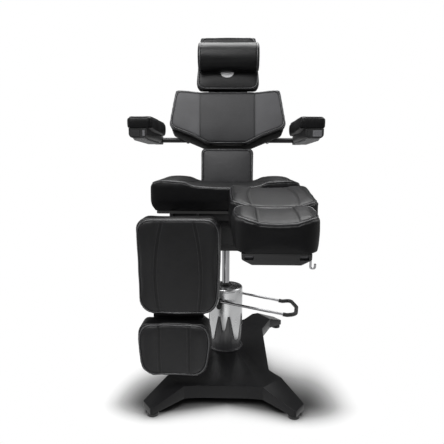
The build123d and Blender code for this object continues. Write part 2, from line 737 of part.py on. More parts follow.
def build_seat():
    """Swivel housing, its panel, the frame with its ears, the board and the cushion."""
    outer = slab(
        -SWIVEL_HALF_WIDTH,
        SWIVEL_HALF_WIDTH,
        -SWIVEL_HALF_DEPTH,
        SWIVEL_HALF_DEPTH,
        SWIVEL_BOTTOM,
        FRAME_BOTTOM,
    )
    inner = slab(
        -SWIVEL_HALF_WIDTH + SWIVEL_WALL,
        SWIVEL_HALF_WIDTH - SWIVEL_WALL,
        -SWIVEL_HALF_DEPTH + SWIVEL_WALL,
        SWIVEL_HALF_DEPTH - SWIVEL_WALL,
        SWIVEL_BOTTOM + SWIVEL_WALL,
        FRAME_BOTTOM + OVERRUN,
    )
    box = outer - inner
    box -= Pos(0, 0, SWIVEL_BOTTOM) * Cylinder(PISTON_RADIUS + BORE_FIT, 4 * SWIVEL_WALL)
    box -= slab(
        -PANEL_HALF_WIDTH,
        PANEL_HALF_WIDTH,
        -SWIVEL_HALF_DEPTH - OVERRUN,
        -SWIVEL_HALF_DEPTH + 2 * SWIVEL_WALL,
        PANEL_BOTTOM,
        PANEL_TOP,
    )
    keep("swivel_housing", box)
    keep(
        "access_panel",
        slab(
            -PANEL_HALF_WIDTH + FIT,
            PANEL_HALF_WIDTH - FIT,
            -SWIVEL_HALF_DEPTH + PANEL_RECESS,
            -SWIVEL_HALF_DEPTH + SWIVEL_WALL,
            PANEL_BOTTOM + FIT,
            PANEL_TOP - FIT,
        ),
    )

    top = FRAME_BOTTOM + FRAME_HEIGHT
    half, rail = FRAME_HALF_WIDTH, FRAME_RAIL
    frame = slab(-half, half, -FRAME_FRONT, -FRAME_FRONT + rail, FRAME_BOTTOM, top)
    frame += slab(-half, half, FRAME_REAR - rail, FRAME_REAR, FRAME_BOTTOM, top)
    for side in (-1, 1):
        low, high = sorted((side * half, side * (half - rail)))
        frame += slab(low, high, -FRAME_FRONT, FRAME_REAR, FRAME_BOTTOM, top)
    frame += slab(
        -half,
        half,
        -SWIVEL_HALF_DEPTH - rail,
        SWIVEL_HALF_DEPTH + rail,
        FRAME_BOTTOM,
        FRAME_BOTTOM + FRAME_PLATE,
    )
    between_lugs = LUG_SPACING / 2 - EAR_THICK - FIT
    for side in (-1, 1):
        for hand in (-1, 1):
            frame += leg_ear(side * LEG_CENTRE + hand * between_lugs)
        frame += back_ear(side * BACK_HINGE_X)
    keep("seat_frame", frame)

    board = slab(
        -SEAT_WIDTH / 2 + SEAT_BOARD_INSET,
        SEAT_WIDTH / 2 - SEAT_BOARD_INSET,
        -SEAT_FRONT + SEAT_BOARD_INSET,
        SEAT_REAR - SEAT_BOARD_INSET,
        SEAT_BOTTOM - SEAT_BOARD,
        SEAT_BOTTOM,
    )
    keep("seat_board", fillet(board.edges().filter_by(Axis.Z), SEAT_CORNER - DRAW_IN))

    depth = SEAT_FRONT + SEAT_REAR
    outline = RectangleRounded(SEAT_WIDTH, depth, SEAT_CORNER)
    pad = cushion(
        outline, SEAT_WIDTH, depth, SEAT_THICK, SEAT_DISH, SEAM_DEPTH, SEAT_PANEL, SEAT_DRAW_IN
    )
    seams = []
    for side in (-1, 1):
        front = (side * (SEAT_PANEL / 2 + SEAT_SEAM_BOW), -depth / 2)
        rear = (side * (SEAT_PANEL / 2 + SEAT_SEAM_BOW / 4), depth / 2)
        seams.append(bowed_band(front, (side * SEAT_PANEL / 2, depth / 4), rear))
    pad = sew(pad, *seams)
    keep("seat_cushion", Pos(0, (SEAT_REAR - SEAT_FRONT) / 2, SEAT_BOTTOM) * pad)

    pins = []
    reach = LUG_SPACING / 2 + EAR_THICK
    for side in (-1, 1):
        middle = side * LEG_CENTRE
        pins.append(rod_x(PIN_RADIUS, middle - reach, middle + reach, LEG_HINGE_Y, LEG_HINGE_Z))
    keep("leg_hinge_pins", *pins)
    pins = []
    for side in (-1, 1):
        low, high = sorted((side * (UPRIGHT_X - UPRIGHT_WIDTH / 2), side * (BACK_HINGE_X + EAR_THICK)))
        pins.append(rod_x(PIN_RADIUS, low, high, BACK_HINGE_Y, BACK_HINGE_Z))
    keep("recline_pins", *pins)


def leg_ear(x):
    """A plate that reaches forwards and down from the front rail to the leg hinge."""
    top = FRAME_BOTTOM + FRAME_HEIGHT
    plate = polygon(
        (-FRAME_FRONT, FRAME_BOTTOM),
        (-FRAME_FRONT, top),
        (-FRAME_FRONT - EAR_RADIUS, top),
        (LEG_HINGE_Y, LEG_HINGE_Z + EAR_RADIUS),
        (LEG_HINGE_Y, LEG_HINGE_Z - EAR_RADIUS),
    )
    plate += Pos(LEG_HINGE_Y, LEG_HINGE_Z) * Circle(EAR_RADIUS)
    plate -= Pos(LEG_HINGE_Y, LEG_HINGE_Z) * Circle(PIN_RADIUS + BORE_FIT)
    return prism_x(plate, x - EAR_THICK / 2, x + EAR_THICK / 2)


def back_ear(x):
    """A plate that reaches backwards and up from the rear rail to the recline hinge."""
    top = FRAME_BOTTOM + FRAME_HEIGHT
    plate = polygon(
        (FRAME_REAR, FRAME_BOTTOM),
        (BACK_HINGE_Y + EAR_RADIUS, FRAME_BOTTOM + FRAME_HEIGHT / 2),
        (BACK_HINGE_Y + EAR_RADIUS, BACK_HINGE_Z),
        (BACK_HINGE_Y - EAR_RADIUS, BACK_HINGE_Z),
        (FRAME_REAR + EAR_THICK, top),
        (FRAME_REAR, top),
    )
    plate += Pos(BACK_HINGE_Y, BACK_HINGE_Z) * Circle(EAR_RADIUS)
    plate -= Pos(BACK_HINGE_Y, BACK_HINGE_Z) * Circle(PIN_RADIUS + BORE_FIT)
    return prism_x(plate, x - EAR_THICK / 2, x + EAR_THICK / 2)


# Leg rests


def casing_section(width, thick, side):
    """The trough under a pad, seen along its length: wide at the pad, bevelled below from a height given
    by side."""
    half = width / 2
    top = LEG_FACE - LEG_CUSHION
    low = top - thick
    return rounded_polygon(
        [
            (half - CASING_BEVEL, low),
            (half, low + side),
            (half, top),
            (-half, top),
            (-half, low + side),
            (-half + CASING_BEVEL, low),
        ],
        [CASING_SIDE, CASING_SIDE, FIT, FIT, CASING_SIDE, CASING_SIDE],
    )


def rail_slots(low_y, high_y, clearance):
    """The two rectangular rails, or with a clearance the slots that they run in."""
    z = LEG_FACE - LEG_CUSHION - RAIL_DROP
    width, height = RAIL_WIDTH / 2 + clearance, RAIL_HEIGHT / 2 + clearance
    bars = []
    for side in (-1, 1):
        x = RAIL_ASIDE + side * RAIL_SPACING / 2
        bars.append(slab(x - width, x + width, low_y, high_y, z - height, z + height))
    return bars


def release_lever(side):
    """Bent wire beside the casing: an axle into its side, a straight hanging stretch and a hook."""
    x = side * (CASING_WIDTH / 2 + RELEASE_STANDOFF)
    z = LEG_FACE - LEG_CUSHION - CASING_THICK / 2
    inner = side * (CASING_WIDTH / 2 - CASING_BEVEL / 2)
    y = LEG_HIP - LEG_LENGTH + RELEASE_FROM_END
    path = FilletPolyline(
        (inner, y, z),
        (x, y, z),
        (x, y, z - RELEASE_LENGTH),
        (x + side * RELEASE_HOOK, y, z - RELEASE_LENGTH),
        (x + side * RELEASE_HOOK, y, z - RELEASE_LENGTH + RELEASE_HOOK),
        radius=RELEASE_BEND,
    )
    return sweep(Plane(origin=(inner, y, z), z_dir=(side, 0, 0)) * Circle(RELEASE_WIRE), path=path)


def build_leg(name, side, turn, foot_out, aside, foot_width):
    """One leg rest: casing with its lugs, pad, foot slide, foot casing, foot pad and release lever."""
    place = Pos(side * LEG_CENTRE, LEG_HINGE_Y, LEG_HINGE_Z) * Rot(turn, 0, 0)
    casing_low = LEG_FACE - LEG_CUSHION - CASING_THICK
    foot_end = LEG_HIP - LEG_LENGTH
    casing_y = (foot_end + CASING_FOOT_INSET, LEG_HIP - CASING_INSET)

    casing = prism_y(casing_section(CASING_WIDTH, CASING_THICK, CASING_SIDE), *casing_y)
    for slot in rail_slots(casing_y[0] - OVERRUN, casing_y[1] - CASING_THICK, FIT):
        casing -= slot
    lug = polygon(
        (-EAR_RADIUS, 0),
        (EAR_RADIUS, 0),
        (2 * EAR_RADIUS, casing_low),
        (-2 * EAR_RADIUS, casing_low),
    )
    lug += Circle(EAR_RADIUS)
    lug -= Circle(PIN_RADIUS + BORE_FIT)
    for hand in (-1, 1):
        x = hand * LUG_SPACING / 2
        casing += prism_x(lug, x - EAR_THICK / 2, x + EAR_THICK / 2)
    axle_z = casing_low + CASING_THICK / 2
    casing -= rod_x(
        RELEASE_WIRE + BORE_FIT,
        *sorted((side * (CASING_WIDTH / 2 - CASING_BEVEL), side * CASING_WIDTH)),
        foot_end + RELEASE_FROM_END,
        axle_z,
    )
    keep(f"leg_casing_{name}", place * casing)

    end = LEG_LENGTH / 2
    outline = rounded_polygon(
        [
            (LEG_WIDTH / 2, end),
            (-LEG_WIDTH / 2, end),
            (-LEG_FOOT_WIDTH / 2, LEG_END_BOW - end),
            (0, -end),
            (LEG_FOOT_WIDTH / 2, LEG_END_BOW - end),
        ],
        [LEG_CORNER, LEG_CORNER, LEG_FOOT_CORNER, END_BOW_RADIUS, LEG_FOOT_CORNER],
    )
    pad = cushion(
        outline, LEG_WIDTH, LEG_LENGTH, LEG_CUSHION, LEG_DISH, SEAM_DEPTH, LEG_PANEL_MID, LEG_DRAW_IN
    )
    seams = []
    for hand in (-1, 1):
        hip = (hand * LEG_PANEL_HIP / 2, LEG_LENGTH / 2)
        foot = (hand * LEG_PANEL_FOOT / 2, -LEG_LENGTH / 2)
        seams.append(bowed_band(hip, (hand * LEG_PANEL_MID / 2, 0), foot))
    pad = Pos(0, LEG_HIP - LEG_LENGTH / 2, LEG_FACE - LEG_CUSHION) * sew(pad, *seams)
    keep(f"leg_cushion_{name}", place * pad)

    foot_top = foot_end - FOOT_GAP - foot_out
    foot_low = foot_top - FOOT_LENGTH
    foot_y = (foot_low + FOOT_CASING_INSET, foot_top + FOOT_CASING_OVER)
    section = casing_section(FOOT_CASING_WIDTH, FOOT_CASING_THICK, FOOT_CASING_SIDE)
    foot_casing = Pos(RAIL_ASIDE, 0, 0) * prism_y(section, *foot_y)
    for slot in rail_slots(foot_y[0] - OVERRUN, foot_y[1] + OVERRUN, FIT):
        foot_casing -= slot
    keep(f"foot_casing_{name}", place * foot_casing)

    rail_low = foot_y[0] + RAIL_RECESS
    keep(f"foot_rails_{name}", *[place * bar for bar in rail_slots(rail_low, rail_low + RAIL_LENGTH, 0)])

    end = FOOT_LENGTH / 2
    hip = foot_width * FOOT_HIP_SHARE / 2
    tip = foot_width * FOOT_TIP_SHARE / 2
    outline = rounded_polygon(
        [
            (hip, end),
            (-hip, end),
            (-foot_width / 2, FOOT_LENGTH / 6),
            (-tip, LEG_END_BOW - end),
            (0, -end),
            (tip, LEG_END_BOW - end),
            (foot_width / 2, FOOT_LENGTH / 6),
        ],
        [
            FOOT_CORNER,
            FOOT_CORNER,
            FOOT_SIDE_CORNER,
            FOOT_TIP_CORNER,
            END_BOW_RADIUS,
            FOOT_TIP_CORNER,
            FOOT_SIDE_CORNER,
        ],
    )
    pad = cushion(
        outline, foot_width, FOOT_LENGTH, LEG_CUSHION, LEG_DISH, SEAM_DEPTH, FOOT_PANEL, LEG_DRAW_IN
    )
    pad = sew(pad, straight_band(-FOOT_PANEL / 2, FOOT_LENGTH), straight_band(FOOT_PANEL / 2, FOOT_LENGTH))
    pad = Pos(aside, foot_top - FOOT_LENGTH / 2, LEG_FACE - LEG_CUSHION) * pad
    keep(f"foot_cushion_{name}", place * pad)
    keep(f"release_lever_{name}", place * release_lever(side))


# Back


def build_back():
    """Back frame, boards, lumbar and shoulder cushions, and the arm bar with its bolts."""
    board_low = -BACK_CUSHION - BACK_BOARD
    frame_low = board_low - UPRIGHT_DEPTH
    frame = None
    hinge = BACK.inverse() * Pos(0, BACK_HINGE_Y, BACK_HINGE_Z)
    hinge_y, hinge_z = hinge.position.Y, hinge.position.Z
    for side in (-1, 1):
        x = side * UPRIGHT_X
        post = slab(
            x - UPRIGHT_WIDTH / 2, x + UPRIGHT_WIDTH / 2, UPRIGHT_BOTTOM, UPRIGHT_TOP, frame_low, board_low
        )
        frame = post if frame is None else frame + post
        lug = polygon(
            (UPRIGHT_BOTTOM, board_low),
            (hinge_y - EAR_RADIUS, hinge_z),
            (hinge_y + EAR_RADIUS, hinge_z),
            (UPRIGHT_BOTTOM + LUG_FOOT, board_low),
        )
        lug += Pos(hinge_y, hinge_z) * Circle(EAR_RADIUS)
        outer = side * (BACK_HINGE_X - EAR_THICK / 2 - FIT)
        inner = outer - side * EAR_THICK
        frame += prism_x(lug, *sorted((inner, outer)))
        low, high = sorted((inner - side * OVERRUN, outer + side * OVERRUN))
        frame -= rod_x(PIN_RADIUS + BORE_FIT, low, high, hinge_y, hinge_z)
    inner_face = UPRIGHT_X - UPRIGHT_WIDTH / 2
    guide_low = UPRIGHT_TOP - CROSS_HEIGHT
    frame += slab(-inner_face, inner_face, LOW_CROSS, LOW_CROSS + CROSS_HEIGHT, frame_low, board_low)
    frame += slab(-inner_face, inner_face, guide_low, UPRIGHT_TOP, frame_low, board_low)
    bar_z = board_low - BAR_RADIUS - 2 * FIT
    frame -= rod_x(BAR_RADIUS + FIT / 2, -BAR_HALF, BAR_HALF, BAR_S, bar_z)
    for side in (-1, 1):
        frame -= Pos(side * POST_X, UPRIGHT_TOP, -HEAD_HINGE_BACK) * Rot(90, 0, 0) * Cylinder(
            POST_RADIUS + BORE_FIT, 4 * CROSS_HEIGHT
        )
    keep("back_frame", BACK * frame)

    lumbar_length = LUMBAR_TOP - LUMBAR_BOTTOM
    lumbar_middle = (LUMBAR_TOP + LUMBAR_BOTTOM) / 2
    thick = BACK_CUSHION - LUMBAR_SETBACK
    outline = RectangleRounded(LUMBAR_WIDTH, lumbar_length, LUMBAR_CORNER)
    pad = cushion(outline, LUMBAR_WIDTH, lumbar_length, thick - SEAM_DEPTH, 0, SEAM_DEPTH, 0)
    keep("lumbar_cushion", BACK * Pos(0, lumbar_middle, -BACK_CUSHION) * pad)
    board_face = RectangleRounded(
        LUMBAR_WIDTH - 2 * DRAW_IN, lumbar_length - 2 * DRAW_IN, LUMBAR_CORNER - DRAW_IN
    )
    board = Pos(0, lumbar_middle, board_low) * prism_z(board_face, 0, BACK_BOARD)
    keep("lumbar_board", BACK * board)

    middle = (BACK_TOP[1] + BACK_LOW[1]) / 2
    right = (BACK_LOW, BACK_KNEE, BACK_WIDE, BACK_TOP, BACK_TOP_DIP)
    points = mirrored_outline([(x, y - middle) for x, y in right])
    radii = [BACK_CORNER, BACK_WIDE_CORNER, BACK_WIDE_CORNER, BACK_CORNER, 0]
    outline = rounded_polygon(points, radii + radii[::-1])
    length = BACK_TOP[1] - BACK_LOW[1]
    width = 2 * BACK_WIDE[0]
    pad = cushion(outline, width, length, BACK_CUSHION - SEAM_DEPTH, 0, SEAM_DEPTH, 0)
    pad = sew(pad, straight_band(-BACK_PANEL / 2, length), straight_band(BACK_PANEL / 2, length))
    keep("back_cushion", BACK * Pos(0, middle, -BACK_CUSHION) * pad)
    widest = (BACK_WIDE[0] - BOARD_INSET, BACK_WIDE[1])
    corner = (BACK_TOP[0] - BOARD_INSET, BACK_TOP[1] - BOARD_INSET)
    points = mirrored_outline([BOARD_LOW, BOARD_WIDE, widest, corner])
    radii = [BACK_CORNER, BACK_WIDE_CORNER, BACK_WIDE_CORNER, BACK_CORNER]
    shell = prism_z(rounded_polygon(points, radii + radii[::-1]), 0, BACK_BOARD)
    keep("back_board", BACK * Pos(0, 0, board_low) * shell)

    keep("arm_bar", BACK * rod_x(BAR_RADIUS, -BAR_HALF, BAR_HALF, BAR_S, bar_z))
    bolts = []
    for side in (-1, 1):
        head = Pos(side * BAR_BOLT_X, BAR_S - BAR_RADIUS + FIT, bar_z) * Rot(90, 0, 0) * Cylinder(
            BAR_BOLT_RADIUS, BAR_BOLT_HEAD, align=(Align.CENTER, Align.CENTER, Align.MIN)
        )
        bolts.append(BACK * (head - rod_x(BAR_RADIUS, -BAR_HALF, BAR_HALF, BAR_S, bar_z)))
    keep("arm_bar_bolts", *bolts)
    bar = BACK * Pos(0, BAR_S, bar_z)
    return bar.position.Y, bar.position.Z


# Armrests


def build_arm(name, side, bar_y, bar_z):
    """One armrest: tapering pad, body with its hub on the bar, under-plate, ribbed end cap and button."""

    def at(x):
        return side * x

    pad_profile = polygon(
        (-ARM_FRONT, ARM_TOP - ARM_PAD_FRONT),
        (ARM_REAR, ARM_TOP - ARM_PAD_REAR),
        (ARM_REAR, ARM_TOP),
        (-ARM_FRONT, ARM_TOP),
    )
    middle_x = at(ARM_INNER + ARM_WIDTH / 2)
    length = ARM_FRONT + ARM_REAR
    pad = prism_x(pad_profile, *sorted((at(ARM_INNER), at(ARM_INNER + ARM_WIDTH))))
    form = cushion(
        RectangleRounded(ARM_WIDTH, length, ARM_PAD_CORNER),
        ARM_WIDTH,
        length,
        ARM_PAD_REAR + TOP_DRAW_IN,
        0,
        SEAM_DEPTH,
        0,
    )
    form = Pos(middle_x, (ARM_REAR - ARM_FRONT) / 2, ARM_TOP - ARM_PAD_REAR - SEAM_DEPTH) * form
    keep(f"arm_pad_{name}", form & pad)

    front = -ARM_FRONT + ARM_BODY_SETBACK
    under_pad = ARM_TOP - ARM_PAD_FRONT
    body_front = under_pad - ARM_BODY_FRONT
    body_rear = ARM_TOP - ARM_PAD_REAR - ARM_BODY_REAR
    body_profile = polygon(
        (front, body_front),
        (ARM_REAR, body_rear),
        (ARM_REAR, ARM_TOP - ARM_PAD_REAR),
        (front, under_pad - ARM_BODY_SETBACK * (ARM_PAD_REAR - ARM_PAD_FRONT) / length),
    )
    low_x, high_x = sorted((at(ARM_BODY_INNER), at(ARM_BODY_INNER + ARM_BODY_WIDTH)))
    body = prism_x(body_profile, low_x, high_x)
    section = Pos((low_x + high_x) / 2, (body_rear + ARM_TOP) / 2) * RectangleRounded(
        ARM_BODY_WIDTH, ARM_TOP - body_rear, ARM_BODY_ROUND
    )
    slope = math.degrees(math.atan2(body_rear - body_front, ARM_REAR - front))
    trough = prism_y(section, -2 * length, 2 * length)
    body &= Pos(0, ARM_REAR, body_rear) * Rot(slope, 0, 0) * Pos(0, -ARM_REAR, -body_rear) * trough
    body -= form & pad
    neck_x = at(ARM_BODY_INNER + ARM_BODY_WIDTH / 2)
    neck = polygon(
        (ARM_REAR - ARM_BODY_ROUND, body_rear),
        (bar_y, bar_z - ARM_NECK_HEIGHT / 2),
        (bar_y, bar_z + ARM_NECK_HEIGHT / 2),
        (ARM_REAR - ARM_BODY_ROUND, ARM_TOP - ARM_PAD_REAR),
    )
    neck += Pos(bar_y, bar_z) * Circle(ARM_HUB_RADIUS)
    arm = body + (prism_x(neck, neck_x - ARM_NECK_WIDTH / 2, neck_x + ARM_NECK_WIDTH / 2) - (form & pad))
    arm -= rod_x(BAR_RADIUS + BORE_FIT, *sorted((at(0), at(BAR_HALF + FIT))), bar_y, bar_z)

    cap_x = at(ARM_BODY_INNER + ARM_BODY_WIDTH - CAP_EDGE - CAP_WIDTH / 2)
    face_z = under_pad - ARM_BODY_FRONT / 2
    pocket = slab(
        cap_x - CAP_WIDTH / 2 - FIT,
        cap_x + CAP_WIDTH / 2 + FIT,
        front - OVERRUN,
        front + CAP_THICK / 2,
        face_z - CAP_HEIGHT / 2 - FIT,
        face_z + CAP_HEIGHT / 2 + FIT,
    )
    button_x = at(ARM_BODY_INNER + BUTTON_EDGE + BUTTON_WIDTH / 2)
    well = slab(
        button_x - BUTTON_WIDTH / 2 - FIT,
        button_x + BUTTON_WIDTH / 2 + FIT,
        front - OVERRUN,
        front + BUTTON_DEPTH + BUTTON_STANDS,
        face_z - BUTTON_HEIGHT / 2 - FIT,
        face_z + BUTTON_HEIGHT / 2 + FIT,
    )
    keep(f"arm_body_{name}", arm - pocket - well)

    cap = slab(
        cap_x - CAP_WIDTH / 2,
        cap_x + CAP_WIDTH / 2,
        front - CAP_THICK / 2,
        front + CAP_THICK / 2,
        face_z - CAP_HEIGHT / 2,
        face_z + CAP_HEIGHT / 2,
    )
    pitch = CAP_WIDTH / (CAP_RIBS + 1)
    for k in range(CAP_RIBS):
        x = cap_x - CAP_WIDTH / 2 + pitch * (k + 1)
        cap -= slab(
            x - pitch / 4,
            x + pitch / 4,
            front - CAP_THICK,
            front - CAP_THICK / 4,
            face_z - CAP_HEIGHT / 2 + pitch,
            face_z + CAP_HEIGHT / 2 - pitch,
        )
    keep(f"arm_cap_{name}", cap)
    button = slab(
        button_x - BUTTON_WIDTH / 2,
        button_x + BUTTON_WIDTH / 2,
        front - BUTTON_STANDS,
        front - BUTTON_STANDS + BUTTON_DEPTH,
        face_z - BUTTON_HEIGHT / 2,
        face_z + BUTTON_HEIGHT / 2,
    )
    keep(f"arm_button_{name}", fillet(button.edges().filter_by(Axis.Y), BUTTON_WIDTH / 3))

    plate = polygon(
        (front + ARM_PLATE_SETBACK, body_front),
        (ARM_REAR - ARM_BODY_ROUND, body_rear),
        (ARM_REAR - ARM_BODY_ROUND, body_rear - ARM_PLATE_THICK),
        (front + 2 * ARM_PLATE_SETBACK, body_front - ARM_PLATE_THICK),
    )
    sheet = prism_x(plate, low_x + ARM_PLATE_INSET, high_x - ARM_PLATE_INSET)
    keep(f"arm_plate_{name}", sheet - arm)


# Headrest


def head_outline(inset):
    """The headrest's outline about its own middle, narrower at the top, drawn in by inset."""
    end = (HEAD_TOP - HEAD_BOTTOM) / 2 - inset
    low = HEAD_WIDTH / 2 - inset
    high = HEAD_TOP_WIDTH / 2 - inset
    radii = [HEAD_CORNER - inset, HEAD_TOP_CORNER]
    return rounded_polygon([(low, -end), (high, end), (-high, end), (-low, -end)], radii + radii[::-1])


def build_head():
    """Mast with its posts, hinge bracket and pin, board, pad, neck roll and the blank badge."""
    block_z = -HEAD_HINGE_BACK
    core = MAST_BOTTOM + MAST_HEIGHT / 2
    mast = slab(
        -MAST_HALF_WIDTH,
        MAST_HALF_WIDTH,
        MAST_BOTTOM,
        MAST_BOTTOM + MAST_HEIGHT,
        block_z - MAST_DEPTH / 2,
        block_z + MAST_DEPTH / 2,
    )
    for side in (-1, 1):
        mast += Pos(side * POST_X, core, block_z) * Rot(90, 0, 0) * Cylinder(
            POST_RADIUS, core - POST_BOTTOM, align=(Align.CENTER, Align.CENTER, Align.MIN)
        )
        ear = polygon(
            (core, block_z - HEAD_EAR_RADIUS),
            (core, block_z + HEAD_EAR_RADIUS),
            (HEAD_HINGE_S, block_z + HEAD_EAR_RADIUS),
            (HEAD_HINGE_S, block_z - HEAD_EAR_RADIUS),
        )
        ear += Pos(HEAD_HINGE_S, block_z) * Circle(HEAD_EAR_RADIUS)
        ear -= Pos(HEAD_HINGE_S, block_z) * Circle(HEAD_PIN_RADIUS + BORE_FIT)
        x = side * HEAD_EAR_X
        mast += prism_x(ear, x - HEAD_EAR_THICK / 2, x + HEAD_EAR_THICK / 2)
    keep("head_mast", BACK * mast)
    pin_half = HEAD_EAR_X + HEAD_EAR_THICK
    keep("head_hinge_pin", BACK * rod_x(HEAD_PIN_RADIUS, -pin_half, pin_half, HEAD_HINGE_S, block_z))

    board_low = -HEAD_CUSHION - HEAD_BOARD
    bracket = None
    knuckle = polygon(
        (HEAD_HINGE_S - HEAD_EAR_RADIUS, block_z),
        (HEAD_HINGE_S - HEAD_EAR_RADIUS, board_low),
        (HEAD_HINGE_S + BRACKET_HEIGHT, board_low),
        (HEAD_HINGE_S + HEAD_EAR_RADIUS, block_z),
    )
    knuckle += Pos(HEAD_HINGE_S, block_z) * Circle(HEAD_EAR_RADIUS)
    knuckle -= Pos(HEAD_HINGE_S, block_z) * Circle(HEAD_PIN_RADIUS + BORE_FIT)
    for side in (-1, 1):
        x = side * (HEAD_EAR_X - HEAD_EAR_THICK - FIT)
        lug = prism_x(knuckle, x - HEAD_EAR_THICK / 2, x + HEAD_EAR_THICK / 2)
        bracket = lug if bracket is None else bracket + lug
    bracket += slab(
        -HEAD_EAR_X + HEAD_EAR_THICK,
        HEAD_EAR_X - HEAD_EAR_THICK,
        HEAD_HINGE_S + BRACKET_HEIGHT / 3,
        HEAD_HINGE_S + BRACKET_HEIGHT,
        board_low - HEAD_EAR_THICK / 2,
        board_low,
    )
    keep("head_bracket", BACK * bracket)

    length = HEAD_TOP - HEAD_BOTTOM
    middle = (HEAD_TOP + HEAD_BOTTOM) / 2
    board = Pos(0, middle, board_low) * prism_z(head_outline(HEAD_BOARD_INSET), 0, HEAD_BOARD)
    keep("head_board", BACK * board)
    outline = head_outline(0)
    pad = cushion(outline, HEAD_WIDTH, length, HEAD_CUSHION, 0, TOP_DRAW_IN, 0)
    flat = slab(-HEAD_WIDTH, HEAD_WIDTH, -length, length, 0, HEAD_CUSHION)
    keep("head_cushion", BACK * Pos(0, middle, -HEAD_CUSHION) * (pad & flat))

    roll_middle = (BOLSTER_TOP + BOLSTER_BOTTOM) / 2
    roll_half = (BOLSTER_TOP - BOLSTER_BOTTOM) / 2
    shoulder = roll_half * ROLL_SHOULDER_SHARE
    shoulder_z = BOLSTER_DEPTH * ROLL_SHOULDER_HEIGHT_SHARE
    widest_z = BOLSTER_DEPTH / 4
    low_foot = (BOLSTER_BOTTOM + DRAW_IN, 0)
    high_foot = (BOLSTER_TOP - DRAW_IN, 0)
    low_shoulder = (roll_middle - shoulder, shoulder_z)
    high_shoulder = (roll_middle + shoulder, shoulder_z)
    profile = make_face(
        [
            Line(low_foot, high_foot),
            ThreePointArc(high_foot, (BOLSTER_TOP, widest_z), high_shoulder),
            ThreePointArc(high_shoulder, (roll_middle, BOLSTER_DEPTH), low_shoulder),
            ThreePointArc(low_shoulder, (BOLSTER_BOTTOM, widest_z), low_foot),
        ]
    )
    roll = prism_x(profile, -BOLSTER_WIDTH / 2, BOLSTER_WIDTH / 2)
    keep("head_bolster", BACK * Pos(BOLSTER_ASIDE, 0, 0) * roll)

    badge = Pos(BADGE_OFFSET, BOLSTER_BOTTOM + DRAW_IN / 2) * (
        Ellipse(BADGE_WIDTH / 2, BADGE_DROP + DRAW_IN / 2)
        & Pos(0, -BADGE_DROP) * Rectangle(BADGE_WIDTH, 2 * BADGE_DROP)
    )
    badge = prism_z(badge, 0, BADGE_THICK) - Pos(BOLSTER_ASIDE, 0, 0) * roll
    keep("head_badge", BACK * badge)


def build_all():
    """Builds every piece about the column axis."""
    build_base()
    build_column()
    build_lever()
    build_seat()
    build_leg("left", -1, LEG_HANGING, LEFT_FOOT_OUT, LEFT_FOOT_ASIDE, FOOT_WIDTH + LEFT_FOOT_WIDER)
    build_leg("right", 1, LEG_RAISED, 0, RIGHT_FOOT_ASIDE, FOOT_WIDTH)
    bar_y, bar_z = build_back()
    build_arm("left", -1, bar_y, bar_z)
    build_arm("right", 1, bar_y, bar_z)
    build_head()


def column_offset():
    """How far behind the origin the column stands: the origin is the middle of the chair's outer box."""
    boxes = [shape.bounding_box() for shape in pieces.values()]
    return -(min(box.min.Y for box in boxes) + max(box.max.Y for box in boxes)) / 2


def export_all():
    """Writes one file per piece, moved so that the origin is under the middle of the chair."""
    os.makedirs("parts", exist_ok=True)
    home = Pos(0, column_offset(), 0)
    for name, shape in pieces.items():
        export_step(home * shape, f"parts/{name}.step")
    print(len(pieces), "pieces, column at y =", round(column_offset(), 3))


if __name__ == "__main__":
    build_all()
    export_all()
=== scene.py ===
"""Tattoo chair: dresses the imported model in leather, paint, silver and chrome, on a plain pale floor."""

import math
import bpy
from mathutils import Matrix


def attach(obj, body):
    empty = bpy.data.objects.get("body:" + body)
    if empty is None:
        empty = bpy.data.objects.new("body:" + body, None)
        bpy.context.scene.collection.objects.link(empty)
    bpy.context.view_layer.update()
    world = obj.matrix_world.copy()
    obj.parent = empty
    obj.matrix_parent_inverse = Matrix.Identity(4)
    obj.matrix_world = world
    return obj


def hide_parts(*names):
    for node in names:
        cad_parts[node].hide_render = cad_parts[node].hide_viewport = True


bl_info = {
    "name": "Tattoo chair",
    "version": (1, 0, 0),
    "blender": (4, 5, 0),
    "location": "View3D > Sidebar > Chair",
    "description": "Makes the cushions, finishes and studio of a hydraulic tattoo chair",
    "category": "Object",
}

import bmesh
import bpy
import numpy as np
from bpy.props import FloatProperty, FloatVectorProperty, IntProperty, PointerProperty
from mathutils import Euler, Matrix, Vector
from mathutils.bvhtree import BVHTree
from mathutils.kdtree import KDTree

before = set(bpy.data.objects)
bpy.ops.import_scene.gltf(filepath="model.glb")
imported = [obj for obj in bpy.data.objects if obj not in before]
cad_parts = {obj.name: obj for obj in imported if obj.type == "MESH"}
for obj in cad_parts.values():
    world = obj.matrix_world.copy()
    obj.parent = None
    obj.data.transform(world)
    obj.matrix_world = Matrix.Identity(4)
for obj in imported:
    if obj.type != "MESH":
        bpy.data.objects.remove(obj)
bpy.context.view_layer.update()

# Where the pieces stand, in metres and degrees, as in the part's source. The column's axis is behind the
# origin, and angles turn a pad from lying face up towards hanging with its face to the front.
COLUMN_Y = 0.165179
HANDS = {"left": -1, "right": 1}
SEAT_PLACE = (0.0, -0.007, 0.754)
LEG_HINGE = (0.171, -0.259, 0.695)
LEG_TURN = {"left": 90.0, "right": 5.8}
LEG_MIDDLE = -0.1245
LEG_BACK = 0.067
FOOT_MIDDLE = {"left": (-0.019, -0.451), "right": (-0.010, -0.427)}
BACK_PLACE = (0.0, 0.210, 0.856)
BACK_TURN = 78.0
BACK_MIDDLE = 0.331
BACK_REAR = -0.062
LUMBAR_MIDDLE = 0.063
HEAD_MIDDLE = 0.610
HEAD_REAR = -0.056
ROLL_MIDDLE = 0.6235
ROLL_ASIDE = 0.004
ROLL_RINGS = (-0.142, 0.142)
ROLL_CORE = 0.036
ARM_PLACE = (0.355, 0.016, 1.095)

